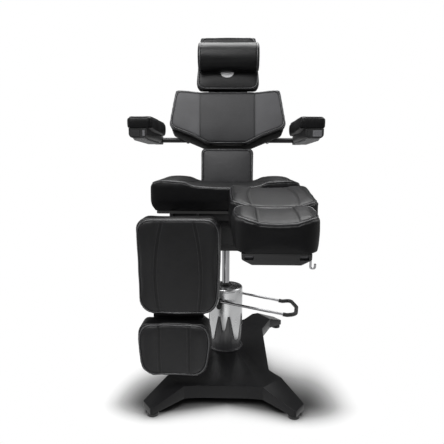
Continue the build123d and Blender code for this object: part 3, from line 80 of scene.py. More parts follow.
# How high above its underside each pad is widest. Its edge seam runs there.
EDGE_HEIGHT = {
    "seat": 0.045, "leg": 0.034, "foot": 0.034, "lumbar": 0.022, "back": 0.028, "head": 0.026, "arm": 0.012,
}

# Sewn channels: three points each, across and along the pad, for the right one of a mirrored pair. On the
# back they part the middle panel from the outer ones.
PANEL_HALF_WIDTH = 0.138
SEAMS = {
    "seat": ((0.200, -0.186), (0.140, 0.0985), (0.155, 0.180)),
    "leg": ((0.059, 0.176), (0.085, 0.0), (0.074, -0.176)),
    "foot": ((0.056, 0.1), (0.057, 0.0), (0.056, -0.1)),
    "back": ((PANEL_HALF_WIDTH, -0.118), (PANEL_HALF_WIDTH, 0.0), (PANEL_HALF_WIDTH, 0.130)),
    "head": ((0.078, 0.045), (0.078, 0.08), (0.078, 0.118)),
}

# The simulated cover: the height of its layer that is held, in mesh sizes, and how much larger than its form
# it is cut
HELD_LAYER = 0.6
COVER_SLACK = 0.015

# Sewing: the points' distance on outlines and on seams, how far stitches stand off the piping, and how much
# of the seam depth an edge seam has
OUTLINE_SPACING = 0.004
SEAM_SPACING = 0.002
STITCH_GAP = 0.0035
EDGE_SEAM_SHARE = 0.7

# Gathers beside a seam: how far they reach, how near to the seam they begin, the lengths of their waves, and
# how far a wave's phase drifts from one point to the next
GATHER_REACH = 0.014
GATHER_START = 0.003
GATHER_WAVES = (0.013, 0.021, 0.034)
GATHER_DRIFT = 0.12

# How far a face looks along the pad's w: below the first it is on the pad's side, from the second on its top
SIDE_FACING = 0.45
TOP_FACING = 0.75
FACING_STEP = 0.2

# CAD nodes that keep their form and get a finish
PLAIN_NODES = {
    "rubber": ["levelling_feet", "lever_grip"],
    "bare_steel": [
        "foot_studs", "barrel_bolts", "pump_cylinder", "swivel_bearing", "leg_hinge_pins", "recline_pins",
        "arm_bar_bolts", "head_hinge_pin",
    ],
    "silver": ["pump_housing", "pump_cover"],
    "chrome": [
        "piston", "lever_rod_front", "lever_rod_rear", "release_lever_left", "release_lever_right",
    ],
    "plastic": ["column_collar", "access_panel", "arm_button_right"],
    "frame_paint": ["lever_shaft", "arm_bar", "head_mast", "head_bracket", "seat_frame", "back_frame"],
    "board_cover": ["seat_board", "lumbar_board", "back_board", "head_board"],
    "dark_steel": ["foot_rails_left", "foot_rails_right"],
    "pale_plastic": ["head_badge"],
    "grey_plastic": ["arm_cap_right", "arm_button_left"],
    "cap_plastic": ["arm_cap_left"],
}

# Rigid pieces whose edges are rounded: the node, its body, its finish, and what the rounding is divided by.
# The second list holds those that are there on the left and on the right.
ROUNDED_NODES = (
    ("base_body", "stand", "base_paint", 1),
    ("column_barrel", "stand", "barrel_paint", 3),
    ("swivel_housing", "turret", "frame_paint", 1),
)
ROUNDED_PAIRS = (
    ("leg_casing", "leg", "plastic", 1),
    ("foot_casing", "foot", "plastic", 1),
    ("arm_body", "arm", "plastic", 2),
    ("arm_plate", "arm", "arm_plate_paint", 3),
)
ROUNDED_ANGLE = math.radians(28)
FLAT_ANGLE = math.radians(0.6)

# Roughness of the leather, from its smoothest to its most worn places
LEATHER_ROUGHNESS = (0.33, 0.43)

# The lamps, all aimed at the middle of the chair: place, edge length and power
LAMP_TARGET = (0.0, 0.1, 0.9)
LAMPS = {
    "key": ((-1.1, -1.8, 3.4), 2.3, 120.0),
    "front": ((0.6, -3.2, 3.0), 1.7, 22.0),
    "top": ((0.2, 1.3, 3.5), 2.4, 85.0),
    "rim_left": ((-3.0, 0.6, 1.9), 1.6, 30.0),
    "rim_right": ((3.0, 0.4, 2.1), 1.6, 26.0),
}

# The pool of shadow on the floor: its middle, how far it is dark to each side, how it bends forwards with
# the splayed front legs, how far it fades to the sides, to the front and to the back, and the floor's tones
SHADOW_MIDDLE = (0.015, -0.125)
SHADOW_HALF_WIDTH = 0.31
SHADOW_BEND = 0.25
SHADOW_FADE = {"side": 0.24, "front": 0.17, "back": 0.40}
FLOOR_DARK = (0.02, 0.02, 0.02)
FLOOR_PALE = (0.93, 0.93, 0.93)
WHITE = (1.0, 1.0, 1.0)

# What glossy surfaces mirror: brightness of the room against the height of the direction, both 0 to 1, what
# it is multiplied by, and how it grows towards the room's sides: from and to which X of the direction, and
# from and to how much. Matt surfaces get one plain level of light.
ROOM_TONES = ((0.0, 0.34), (0.07, 0.30), (0.18, 0.06), (0.60, 0.07), (0.82, 0.60), (1.0, 0.95))
ROOM_STRENGTH = 1.25
ROOM_SIDES = (0.30, 0.92, 0.0, 0.55)
MATT_LIGHT = 0.42


# Properties that a user may change


class ChairLeather(bpy.types.PropertyGroup):
    """Sizes and colours of the cushions."""

    colour: FloatVectorProperty(
        name="Leather colour", description="Colour of the middle panels", subtype="COLOR",
        default=(0.0055, 0.0055, 0.0060), min=0.0, max=1.0,
    )
    # Painted sheen: the lumbar and back pads get a lighter copy of the leather, which stands in for the
    # light their faces catch rather than for wear
    painted_sheen_colour: FloatVectorProperty(
        name="Back colour", description="Colour of the back's middle panel, a little worn", subtype="COLOR",
        default=(0.026, 0.026, 0.0275), min=0.0, max=1.0,
    )
    # The outer panels' colour is partly a duller, satin leather and partly painted light, for panels turned
    # more to the light
    side_colour: FloatVectorProperty(
        name="Side panel colour", description="Colour of the back's outer panels", subtype="COLOR",
        default=(0.060, 0.060, 0.063), min=0.0, max=1.0,
    )
    grain: FloatProperty(
        name="Grain size", description="Width of one pebble of the leather", unit="LENGTH", default=0.0016,
    )
    voxel: FloatProperty(
        name="Mesh size", description="Edge length that a pad is remeshed to", unit="LENGTH", default=0.006,
    )
    cover: FloatProperty(
        name="Simulated mesh size", description="Edge length of the coarse cover that is simulated",
        unit="LENGTH", default=0.011,
    )
    swell: FloatProperty(
        name="Swell", description="How far the filling may push the cover out or draw it in", unit="LENGTH",
        default=0.0045,
    )
    pressure: FloatProperty(
        name="Pressure", description="Pressure of the filling in the cloth simulation", default=4.0,
    )
    frames: IntProperty(
        name="Frames", description="Steps of the cloth simulation", default=20,
    )
    piping: FloatProperty(
        name="Piping radius", description="Radius of the cord in the edge seams", unit="LENGTH",
        default=0.0033,
    )
    edge_inset: FloatProperty(
        name="Edge seam inset", description="From a pad's widest outline to its piping", unit="LENGTH",
        default=0.008,
    )
    seam_depth: FloatProperty(
        name="Seam depth", description="How deep the sewn channels are", unit="LENGTH", default=0.0030,
    )
    seam_width: FloatProperty(
        name="Seam width", description="Half width of a sewn channel", unit="LENGTH", default=0.0042,
    )
    stitch: FloatProperty(
        name="Stitch length", description="From one stitch to the next", unit="LENGTH", default=0.0060,
    )


class ChairMetal(bpy.types.PropertyGroup):
    """Colours of the paint, the metals and the plastics."""

    paint: FloatVectorProperty(
        name="Base paint", description="Satin paint of the base", subtype="COLOR",
        default=(0.0075, 0.0075, 0.008), min=0.0, max=1.0,
    )
    silver: FloatVectorProperty(
        name="Silver", description="Satin silver of the pump housing", subtype="COLOR",
        default=(0.62, 0.625, 0.63), min=0.0, max=1.0,
    )
    chrome: FloatVectorProperty(
        name="Chrome", description="Polished piston and rods", subtype="COLOR",
        default=(0.37, 0.37, 0.38), min=0.0, max=1.0,
    )
    plastic: FloatVectorProperty(
        name="Plastic", description="Moulded casings", subtype="COLOR",
        default=(0.018, 0.018, 0.019), min=0.0, max=1.0,
    )
    bevel: FloatProperty(
        name="Edge rounding", description="Rounding of the rigid pieces' edges", unit="LENGTH",
        default=0.0025,
    )


class ChairStage(bpy.types.PropertyGroup):
    """Camera and floor."""

    camera: FloatVectorProperty(
        name="Camera place", description="Where the camera stands, from the column's foot", unit="LENGTH",
        default=(0.0341, -2.0110, 0.9915),
    )
    pitch: FloatProperty(
        name="Pitch", description="How far the camera looks down, in degrees", default=8.8,
    )
    yaw: FloatProperty(
        name="Yaw", description="How far the camera looks to the left, in degrees", default=1.5,
    )
    roll: FloatProperty(
        name="Roll", description="How far the picture is turned, in degrees", default=0.2,
    )
    lens: FloatProperty(
        name="Lens", description="Focal length in millimetres", default=35.69,
    )
    floor: FloatProperty(
        name="Floor size", description="Edge of the square floor", unit="LENGTH", default=30.0,
    )


# Meshes


def place(origin, turn, hand=1):
    """The 4x4 matrix of a pad's own axes: u across, v along, w out of its face, turned about X."""
    t = math.radians(turn)
    m = np.eye(4)
    m[:3, 1] = (0.0, math.cos(t), math.sin(t))
    m[:3, 2] = (0.0, -math.sin(t), math.cos(t))
    m[:3, 3] = (hand * origin[0], origin[1] + COLUMN_Y, origin[2])
    return m


def shifted(m, u, v, w):
    """The same axes with their origin moved along them."""
    out = m.copy()
    out[:3, 3] = m[:3, :3] @ np.array((u, v, w)) + m[:3, 3]
    return out


def to_local(points, m):
    """World points in a pad's own axes."""
    return (points - m[:3, 3]) @ m[:3, :3]


def to_world(points, m):
    """A pad's own points in the world."""
    return points @ m[:3, :3].T + m[:3, 3]


def read_vectors(items, key):
    """One vector of each of a mesh's vertices or faces, as one array."""
    flat = np.empty(len(items) * 3, np.float32)
    items.foreach_get(key, flat)
    return flat.reshape(-1, 3).astype(float)


def read_points(mesh):
    """All vertices of a mesh as one array."""
    return read_vectors(mesh.vertices, "co")


def write_points(mesh, points):
    """Puts all vertices back."""
    mesh.vertices.foreach_set("co", points.astype(np.float32).ravel())
    mesh.update()


def write_mask(mesh, name, values):
    """Gives a mesh a named mask with one number at each vertex, which its material reads."""
    attribute = mesh.attributes.new(name, "FLOAT", "POINT")
    attribute.data.foreach_set("value", values.astype(np.float32))


def new_object(name, mesh):
    """A linked object at the origin."""
    obj = bpy.data.objects.new(name, mesh)
    bpy.context.scene.collection.objects.link(obj)
    return obj


def smooth_shaded(mesh):
    """Every face shaded smooth."""
    mesh.polygons.foreach_set("use_smooth", np.ones(len(mesh.polygons), bool))
    mesh.update()


def grid_quads(rows, columns, close_u, close_v):
    """The quads of a grid of points: row i, column j joins (i, j) to (i + 1, j + 1), and the closed
    directions join the last back to the first."""
    i = np.arange(rows if close_u else rows - 1)[:, None]
    j = np.arange(columns if close_v else columns - 1)[None, :]
    ii, jj = (i + 1) % rows, (j + 1) % columns
    corners = [i * columns + j, ii * columns + j, ii * columns + jj, i * columns + jj]
    return np.stack(corners, axis=-1).reshape(-1, 4)


def quad_mesh(name, points, quads):
    """A smooth mesh from arrays of points and quads."""
    mesh = bpy.data.meshes.new(name)
    mesh.from_pydata(points.reshape(-1, 3).tolist(), [], quads.tolist())
    smooth_shaded(mesh)
    return mesh


def edit_mesh(mesh, change):
    """Opens a mesh for editing, changes it and writes it back."""
    bm = bmesh.new()
    bm.from_mesh(mesh)
    change(bm)
    bm.to_mesh(mesh)
    bm.free()


def merged_copy(node):
    """A copy of a CAD node's mesh with its loose triangles joined."""
    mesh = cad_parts[node].data.copy()
    edit_mesh(mesh, lambda bm: bmesh.ops.remove_doubles(bm, verts=bm.verts, dist=1e-5))
    mesh.materials.clear()
    return mesh


def baked(obj):
    """The object's mesh with its modifiers applied."""
    depsgraph = bpy.context.evaluated_depsgraph_get()
    return bpy.data.meshes.new_from_object(obj.evaluated_get(depsgraph))


def replace_mesh(obj, mesh):
    """Gives the object a finished mesh in place of its modifiers."""
    old = obj.data
    obj.modifiers.clear()
    obj.data = mesh
    bpy.data.meshes.remove(old)


def surface_tree(mesh):
    """A search tree over a mesh's faces."""
    return BVHTree.FromPolygons(
        [tuple(point) for point in read_points(mesh)], [tuple(face.vertices) for face in mesh.polygons]
    )


def neighbour_mean(mesh):
    """A function that gives, for values held at a mesh's vertices, the mean over each one's neighbours."""
    edges = np.empty(len(mesh.edges) * 2, np.int32)
    mesh.edges.foreach_get("vertices", edges)
    a, b = edges.reshape(-1, 2).T
    ends, others = np.concatenate([a, b]), np.concatenate([b, a])
    others = others[np.argsort(ends, kind="stable")]
    count = np.bincount(ends, minlength=len(mesh.vertices))
    first = np.concatenate([[0], np.cumsum(count)[:-1]])
    share = np.maximum(count, 1)[:, None]
    return lambda values: np.add.reduceat(values[others], first, axis=0) / share


def relax(mesh, rounds, share, back=0.0, where=None):
    """Smooths a mesh: each round moves every vertex a share of the way to its neighbours' mean, and then,
    to keep the form's size, a share back. A mask of weights limits it to a part of the mesh."""
    mean = neighbour_mean(mesh)
    points = read_points(mesh)
    weight = 1.0 if where is None else where[:, None]
    for _ in range(rounds):
        points += weight * share * (mean(points) - points)
        if back:
            points -= weight * back * (mean(points) - points)
    write_points(mesh, points)


def near(gap, width):
    """A bell over a distance: 1 at none, and about a third at the width."""
    return np.exp(-((gap / width) ** 2))


def step_up(values, low, width):
    """0 up to low, 1 from a width further on, and straight between."""
    return np.clip((values - low) / width, 0.0, 1.0)


def distance_to(points, path, block=4096):
    """From each point to the nearest point of a dense path, and that point's number, in blocks."""
    nearest = np.empty(len(points))
    which = np.empty(len(points), int)
    for start in range(0, len(points), block):
        some = slice(start, start + block)
        gap = ((points[some, None, :] - path[None, :, :]) ** 2).sum(-1)
        which[some] = gap.argmin(1)
        nearest[some] = np.sqrt(gap.min(1))
    return nearest, which


def lengths_along(line):
    """How far along a line each of its points is."""
    steps = np.linalg.norm(np.diff(line, axis=0), axis=1)
    return np.concatenate([[0.0], np.cumsum(steps)])


def directions(path, closed):
    """A line's direction at each point, one long: from the point before to the one after."""
    if closed:
        way = np.roll(path, -1, axis=0) - np.roll(path, 1, axis=0)
    else:
        way = np.gradient(path, axis=0)
    return way / np.linalg.norm(way, axis=1)[:, None]


def beside(flat, offset, closed):
    """A line in u and v moved sideways by an offset, to the left of its way."""
    way = directions(flat, closed)
    return flat + np.stack([-way[:, 1], way[:, 0]], axis=1) * offset


def resampled(path, spacing, closed):
    """The same line with points an equal distance apart along it."""
    line = np.vstack([path, path[:1]]) if closed else path
    along = lengths_along(line)
    count = max(int(along[-1] / spacing), 8)
    where = np.linspace(0.0, along[-1], count, endpoint=not closed)
    return np.stack([np.interp(where, along, line[:, k]) for k in range(line.shape[1])], axis=1)


def softened(path, rounds, closed):
    """The same line with each point moved to the mean of itself and its neighbours."""
    line = path.copy()
    for _ in range(rounds):
        before, after = np.roll(line, 1, axis=0), np.roll(line, -1, axis=0)
        if not closed:
            before[0], after[-1] = line[0], line[-1]
        line = (before + 2 * line + after) / 4
    return line


def tube_mesh(name, path, radius, closed, sides=10):
    """A round profile carried along a path: at each point a ring in the plane across the path, with its
    first direction kept as near as may be to the one before, and a rounded cap at each open end."""
    tangent = directions(path, closed)
    guide = np.cross(tangent[0], (0.0, 0.0, 1.0))
    if np.linalg.norm(guide) < 0.1:
        guide = np.cross(tangent[0], (1.0, 0.0, 0.0))
    across = np.empty_like(path)
    for k, along in enumerate(tangent):
        guide = guide - along * (guide @ along)
        guide /= np.linalg.norm(guide)
        across[k] = guide
    aside = np.cross(tangent, across)
    turn = np.linspace(0.0, 2 * math.pi, sides, endpoint=False)[None, :, None]
    radii = np.full(len(path), radius)
    if not closed:
        radii[[0, -1]] = radius * 0.55
    ring = across[:, None, :] * np.cos(turn) + aside[:, None, :] * np.sin(turn)
    points = path[:, None, :] + ring * radii[:, None, None]
    mesh = quad_mesh(name, points, grid_quads(len(path), sides, closed, True))

    def close_up(bm):
        if not closed:
            bmesh.ops.holes_fill(bm, edges=[edge for edge in bm.edges if edge.is_boundary])
        bmesh.ops.recalc_face_normals(bm, faces=bm.faces)

    edit_mesh(mesh, close_up)
    smooth_shaded(mesh)
    return mesh


# Node groups and materials


GROUPS = {}
FINISHES = {}


def feed(tree, node, inputs):
    """Gives a node's inputs, by their names or numbers, values of their own or other nodes' outputs."""
    for key, value in inputs.items():
        if isinstance(value, bpy.types.NodeSocket):
            tree.links.new(value, node.inputs[key])
        else:
            node.inputs[key].default_value = value


def add_node(tree, kind, inputs=None, **settings):
    """A node with its settings and its inputs."""
    node = tree.nodes.new(kind)
    for key, value in settings.items():
        setattr(node, key, value)
    feed(tree, node, inputs or {})
    return node


def node_group(name, inputs, outputs):
    """An empty shader group with named float sockets."""
    group = bpy.data.node_groups.new(name, "ShaderNodeTree")
    for label, default in inputs.items():
        socket = group.interface.new_socket(label, in_out="INPUT", socket_type="NodeSocketFloat")
        socket.default_value = default
    for label in outputs:
        group.interface.new_socket(label, in_out="OUTPUT", socket_type="NodeSocketFloat")
    return group, group.nodes.new("NodeGroupInput").outputs, group.nodes.new("NodeGroupOutput")


def worked(tree, value, *steps):
    """A value taken through math steps, each an operation and, where it has one, its second value."""
    for operation, *others in steps:
        inputs = dict(enumerate((value, *others)))
        value = add_node(tree, "ShaderNodeMath", inputs, operation=operation).outputs[0]
    return value


def own_place(tree):
    """A point's place in the piece's own axes."""
    return add_node(tree, "ShaderNodeTexCoord").outputs["Object"]


def split_axes(tree, vector):
    """The three numbers of a vector."""
    return add_node(tree, "ShaderNodeSeparateXYZ", {0: vector}).outputs


def make_grain_group():
    """Pebbled grain: cells of a Voronoi pattern, wandering with noise, with fine pores between them."""
    inputs = {"Pebble": 0.0016, "Unevenness": 0.5}
    group, start, end = node_group("pebble_grain", inputs, ("Height", "Cells"))
    where = own_place(group)
    frequency = worked(group, 1.0, ("DIVIDE", start["Pebble"]))
    cells = add_node(
        group, "ShaderNodeTexVoronoi",
        {"Vector": where, "Scale": frequency, "Smoothness": 0.25, "Randomness": 0.95}, feature="SMOOTH_F1",
    ).outputs["Distance"]
    coarser = worked(group, frequency, ("MULTIPLY", 0.35))
    pores = add_node(
        group, "ShaderNodeTexNoise", {"Vector": where, "Scale": coarser, "Detail": 3.0, "Roughness": 0.6}
    ).outputs[0]
    hollow = worked(group, pores, ("MULTIPLY", start["Unevenness"]))
    height = worked(group, 1.0, ("SUBTRACT", cells), ("ADD", hollow))
    feed(group, end, {"Height": height, "Cells": cells})
    return group


def make_cloud_group():
    """Slow variation of a surface, from large soft noise to fine specks: 0 to 1 about a middle of 0.5."""
    group, start, end = node_group("cloudiness", {"Size": 0.2, "Contrast": 1.0}, ("Value", "Specks"))
    where = own_place(group)
    frequency = worked(group, 1.0, ("DIVIDE", start["Size"]))
    large = add_node(
        group, "ShaderNodeTexNoise", {"Vector": where, "Scale": frequency, "Detail": 4.0, "Roughness": 0.55}
    ).outputs[0]
    level = worked(group, large, ("SUBTRACT", 0.5), ("MULTIPLY", start["Contrast"]))
    cloud = add_node(group, "ShaderNodeMath", {0: level, 1: 0.5}, operation="ADD", use_clamp=True)
    specks = add_node(group, "ShaderNodeTexNoise", {"Vector": where, "Scale": 900.0, "Detail": 2.0})
    feed(group, end, {"Value": cloud.outputs[0], "Specks": specks.outputs[0]})
    return group


def make_brush_group():
    """Brushed or drawn metal: noise stretched along one axis of the piece."""
    group, start, end = node_group("drawn_lines", {"Fineness": 1400.0, "Stretch": 0.02}, ("Lines",))
    x, y, z = split_axes(group, own_place(group))
    stretched = worked(group, z, ("MULTIPLY", start["Stretch"]))
    joined = add_node(group, "ShaderNodeCombineXYZ", {0: x, 1: y, 2: stretched}).outputs[0]
    lines = add_node(
        group, "ShaderNodeTexNoise", {"Vector": joined, "Scale": start["Fineness"], "Detail": 2.0}
    )
    feed(group, end, {"Lines": lines.outputs[0]})
    return group


def use_group(tree, group, **values):
    """One use of a shared group in a material, with its own values."""
    return add_node(tree, "ShaderNodeGroup", values, node_tree=GROUPS[group]).outputs


def new_material(name, values):
    """A material with its Principled shader and the values that are the same all over it."""
    material = bpy.data.materials.new(name)
    material.use_nodes = True
    tree = material.node_tree
    shader = tree.nodes["Principled BSDF"]
    feed(tree, shader, values)
    return material, tree, shader


def ramp(tree, value, low, high, first, second):
    """Colours from first to second while the value goes from low to high."""
    node = add_node(tree, "ShaderNodeValToRGB", {0: value})
    for element, position, colour in zip(node.color_ramp.elements, (low, high), (first, second)):
        element.position = position
        element.color = (*colour, 1.0)
    return node.outputs[0]


def span(tree, value, low, high, first, second, **settings):
    """A number from first to second while the value goes from low to high."""
    inputs = dict(enumerate((value, low, high, first, second)))
    return add_node(tree, "ShaderNodeMapRange", inputs, **settings).outputs[0]


def bump(tree, shader, height, strength, distance, **below):
    """A bump on the shader's normal, on top of the one that is given as Normal."""
    inputs = {"Strength": strength, "Distance": distance, "Height": height, **below}
    normal = add_node(tree, "ShaderNodeBump", inputs).outputs[0]
    feed(tree, shader, {"Normal": normal})
    return normal


def mixed(tree, factor, first, second):
    """A mix of two colours, which are the inputs 6 and 7 of Blender's mix."""
    inputs = {0: factor, 6: first, 7: second}
    return add_node(tree, "ShaderNodeMix", inputs, data_type="RGBA").outputs[2]


def mixed_shaders(tree, factor, first, second):
    """A mix of two shaders."""
    return add_node(tree, "ShaderNodeMixShader", {0: factor, 1: first, 2: second}).outputs[0]


def times(colour, share):
    """A colour made lighter or darker."""
    return tuple(share * channel for channel in colour)


def clouded(tree, clouds, colour, darker, lighter, low=0.2):
    """A colour that wanders between two shares of itself."""
    return ramp(tree, clouds["Value"], low, 1.0 - low, times(colour, darker), times(colour, lighter))


def leather_material(name, colour, side_colour, grain, gloss=0.0, shine=0.27):
    """Coated leather: pebbled, cloudy, lighter and duller on the outer panels and darker in the seams. The
    outer panels' lighter colour is partly a duller leather and partly painted light, for panels turned more
    to the light. The gloss is added to its roughness, and the shine is how strongly it mirrors."""
    material, tree, shader = new_material(name, {"Specular IOR Level": shine})
    clouds = use_group(tree, "cloud", Size=0.16, Contrast=1.3)
    pebbles = use_group(tree, "grain", Pebble=grain)
    side = add_node(tree, "ShaderNodeAttribute", attribute_name="outer_panel").outputs["Fac"]
    crease = add_node(tree, "ShaderNodeAttribute", attribute_name="crease").outputs["Fac"]
    middle = clouded(tree, clouds, colour, 0.8, 1.25, low=0.25)
    outer = clouded(tree, clouds, side_colour, 0.85, 1.2, low=0.25)
    seam = (*times(colour, 0.35), 1.0)
    shade = mixed(tree, crease, mixed(tree, side, middle, outer), seam)
    smoothest, roughest = LEATHER_ROUGHNESS
    worn = span(tree, clouds["Value"], 0.2, 0.8, smoothest + gloss, roughest + gloss)
    dull = worked(tree, side, ("MULTIPLY", 0.05))
    pitted = span(tree, pebbles["Cells"], 0.0, 0.8, 0.0, 0.06)
    rough = worked(tree, worn, ("ADD", dull), ("ADD", pitted))
    feed(tree, shader, {"Base Color": shade, "Roughness": rough})
    wrinkles = add_node(
        tree, "ShaderNodeTexNoise",
        {"Vector": own_place(tree), "Scale": 34.0, "Detail": 4.0, "Roughness": 0.6},
    )
    slack = bump(tree, shader, wrinkles.outputs[0], strength=0.25, distance=0.004)
    bump(tree, shader, pebbles["Height"], strength=0.35, distance=0.00035, Normal=slack)
    return material


def paint_material(name, colour, roughness, texture, depth, coat=0.0, shine=0.32):
    """Satin or textured paint over metal, slightly uneven in gloss, with dust specks."""
    values = {"Specular IOR Level": shine, "Coat Roughness": 0.25, "Coat Weight": coat}
    material, tree, shader = new_material(name, values)
    clouds = use_group(tree, "cloud", Size=0.3, Contrast=1.2)
    pebbles = use_group(tree, "grain", Pebble=texture, Unevenness=0.8)
    dust = worked(tree, clouds["Specks"], ("GREATER_THAN", 0.74), ("MULTIPLY", 0.12))
    shade = mixed(tree, dust, clouded(tree, clouds, colour, 0.85, 1.2), (*times(WHITE, 0.25), 1.0))
    rough = span(tree, clouds["Value"], 0.2, 0.8, roughness - 0.04, roughness + 0.06)
    feed(tree, shader, {"Base Color": shade, "Roughness": rough})
    bump(tree, shader, pebbles["Height"], strength=0.4, distance=depth)
    return material


def metal_material(name, colour, roughness, stretch=0.02):
    """Polished or satin metal with drawn lines and faint smears."""
    material, tree, shader = new_material(name, {"Metallic": 1.0})
    clouds = use_group(tree, "cloud", Size=0.07, Contrast=1.4)
    drawn = use_group(tree, "brush", Fineness=1400.0, Stretch=stretch)
    smeared = span(tree, clouds["Value"], 0.25, 0.8, roughness * 0.8, roughness * 1.5)
    feed(tree, shader, {"Base Color": clouded(tree, clouds, colour, 0.9, 1.06), "Roughness": smeared})
    bump(tree, shader, drawn["Lines"], strength=0.12, distance=0.0002)
    return material


def moulded_material(name, colour, roughness, texture=0.0009, depth=0.00012):
    """Moulded plastic or rubber with a fine spark-eroded texture."""
    material, tree, shader = new_material(name, {"Specular IOR Level": 0.45})
    clouds = use_group(tree, "cloud", Size=0.12, Contrast=1.0)
    pebbles = use_group(tree, "grain", Pebble=texture, Unevenness=0.6)
    rough = span(tree, clouds["Value"], 0.2, 0.8, roughness - 0.04, roughness + 0.07)
    feed(tree, shader, {"Base Color": clouded(tree, clouds, colour, 0.88, 1.15), "Roughness": rough})
    bump(tree, shader, pebbles["Height"], strength=0.4, distance=depth)
    return material


def recipes():
    """Every finish by its plain name: its maker, its colour, and the maker's other values in their order.
    For leather these are the outer panels' colour, the grain, the gloss and the shine, for paint and moulded
    pieces the roughness, the texture's size and depth, the coat and the shine, and for metal the roughness
    and the stretch of its lines."""
    leather, metal = bpy.context.scene.chair_leather, bpy.context.scene.chair_metal
    colour, side, grain = leather.colour, leather.side_colour, leather.grain
    # The leather darkened for painted shade: on the pads' sides, the neck roll and the armrests
    dark = times(colour, 0.6)
    return {
        "leather": (leather_material, colour, side, grain),
        # Painted sheen: the lighter copy of the leather for the lumbar and back pads
        "worn_leather": (leather_material, leather.painted_sheen_colour, side, grain, 0.06),
        # Painted highlight: the piping is three times as light as the leather, standing in for the bright
        # line its cord catches
        "piping": (leather_material, times(colour, 3.0), colour, grain / 2, -0.19, 0.6),
        # Painted shade: a darker, duller copy of the leather for the pads' sides
        "side_leather": (leather_material, dark, colour, grain, 0.02, 0.10),
        # Painted shade: a darker, glossier copy of the leather for the neck roll and the armrests
        "dark_leather": (leather_material, dark, side, grain, -0.05, 0.22),
        "thread": (moulded_material, (0.022, 0.022, 0.023), 0.55, 0.0004, 0.00008),
        "base_paint": (paint_material, metal.paint, 0.34, 0.0018, 0.00010, 0.0, 0.14),
        # Painted sheen: the barrel's paint is five times as light as the base's, standing in for the
        # reflections the barrel shows
        "barrel_paint": (paint_material, times(metal.paint, 5.0), 0.22, 0.0012, 0.00004, 0.3, 0.6),
        "frame_paint": (paint_material, times(metal.paint, 0.8), 0.40, 0.0009, 0.0001),
        "arm_plate_paint": (paint_material, (0.07, 0.07, 0.073), 0.4, 0.0009, 0.00008),
        "silver": (metal_material, metal.silver, 0.26),
        "chrome": (metal_material, metal.chrome, 0.07),
        "bare_steel": (metal_material, (0.42, 0.42, 0.43), 0.3, 0.3),
        "dark_steel": (metal_material, (0.10, 0.10, 0.105), 0.35, 0.3),
        "plastic": (moulded_material, times(metal.plastic, 0.4), 0.42),
        "cap_plastic": (moulded_material, (0.012, 0.012, 0.013), 0.4),
        "rubber": (moulded_material, (0.012, 0.012, 0.012), 0.55, 0.0014, 0.0002),
        "pale_plastic": (moulded_material, (0.60, 0.60, 0.61), 0.35, 0.0008, 0.00005),
        "grey_plastic": (moulded_material, (0.09, 0.09, 0.095), 0.38, 0.0008, 0.00005),
        "board_cover": (moulded_material, (0.016, 0.016, 0.016), 0.8, 0.0011, 0.0003),
    }


def finish(name):
    """A finish by its plain name, made when it is first asked for."""
    if not GROUPS:
        GROUPS["grain"] = make_grain_group()
        GROUPS["cloud"] = make_cloud_group()
        GROUPS["brush"] = make_brush_group()
    if name not in FINISHES:
        maker, *values = recipes()[name]
        FINISHES[name] = maker(name, *values)
    return FINISHES[name]


# Rigid pieces


def paint_node(node, material):
    """Gives a CAD node its finish."""
    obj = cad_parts[node]
    obj.data.materials.clear()
    obj.data.materials.append(finish(material))


def join_flat_faces(bm):
    """Joins the triangles that lie in one plane."""
    bmesh.ops.dissolve_limit(
        bm, angle_limit=FLAT_ANGLE, verts=bm.verts, edges=bm.edges, delimit={"NORMAL"}
    )


def dress(node, body, material, bevel):
    """A rigid piece that stands for its CAD node: the same form with flat faces joined and soft edges."""
    mesh = merged_copy(node)
    edit_mesh(mesh, join_flat_faces)
    smooth_shaded(mesh)
    obj = new_object(f"{node}_finished", mesh)
    obj.data.materials.append(finish(material))
    soft = obj.modifiers.new("edges", "BEVEL")
    soft.width = bevel
    soft.segments = 3
    soft.limit_method = "ANGLE"
    soft.angle_limit = ROUNDED_ANGLE
    soft.harden_normals = True
    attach(obj, body)
    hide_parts(node)


# Cushions


def remeshed(name, node, voxel):
    """A CAD cushion as an even quad mesh."""
    obj = new_object(name, merged_copy(node))
    remesh = obj.modifiers.new("remesh", "REMESH")
    remesh.mode = "VOXEL"
    remesh.voxel_size = voxel
    replace_mesh(obj, baked(obj))
    return obj


def filled(node, m):
    """Fills a coarse cover of a cushion: cloth simulation with pressure inside and its back held. Gives the
    cover's points, and how far outwards each of them goes."""
    leather = bpy.context.scene.chair_leather
    scene = bpy.context.scene
    obj = remeshed("cover", node, leather.cover)
    relax(obj.data, rounds=3, share=0.5, back=0.53)
    before, out = read_points(obj.data), read_vectors(obj.data.vertices, "normal")
    depth = to_local(before, m)[:, 2]
    held = obj.vertex_groups.new(name="held")
    lowest = np.flatnonzero(depth < depth.min() + HELD_LAYER * leather.cover)
    held.add(lowest.tolist(), 1.0, "REPLACE")
    cloth = obj.modifiers.new("filling", "CLOTH")
    cloth.settings.use_pressure = True
    cloth.settings.uniform_pressure_force = leather.pressure
    cloth.settings.effector_weights.gravity = 0.0
    cloth.settings.vertex_group_mass = "held"
    cloth.settings.shrink_min = -COVER_SLACK
    cloth.point_cache.frame_start = 1
    cloth.point_cache.frame_end = leather.frames
    for number in range(1, leather.frames + 1):
        scene.frame_set(number)
    cover = baked(obj)
    way = ((read_points(cover) - before) * out).sum(1)
    scene.frame_set(1)
    bpy.data.meshes.remove(cover)
    mesh = obj.data
    bpy.data.objects.remove(obj)
    bpy.data.meshes.remove(mesh)
    return before, way


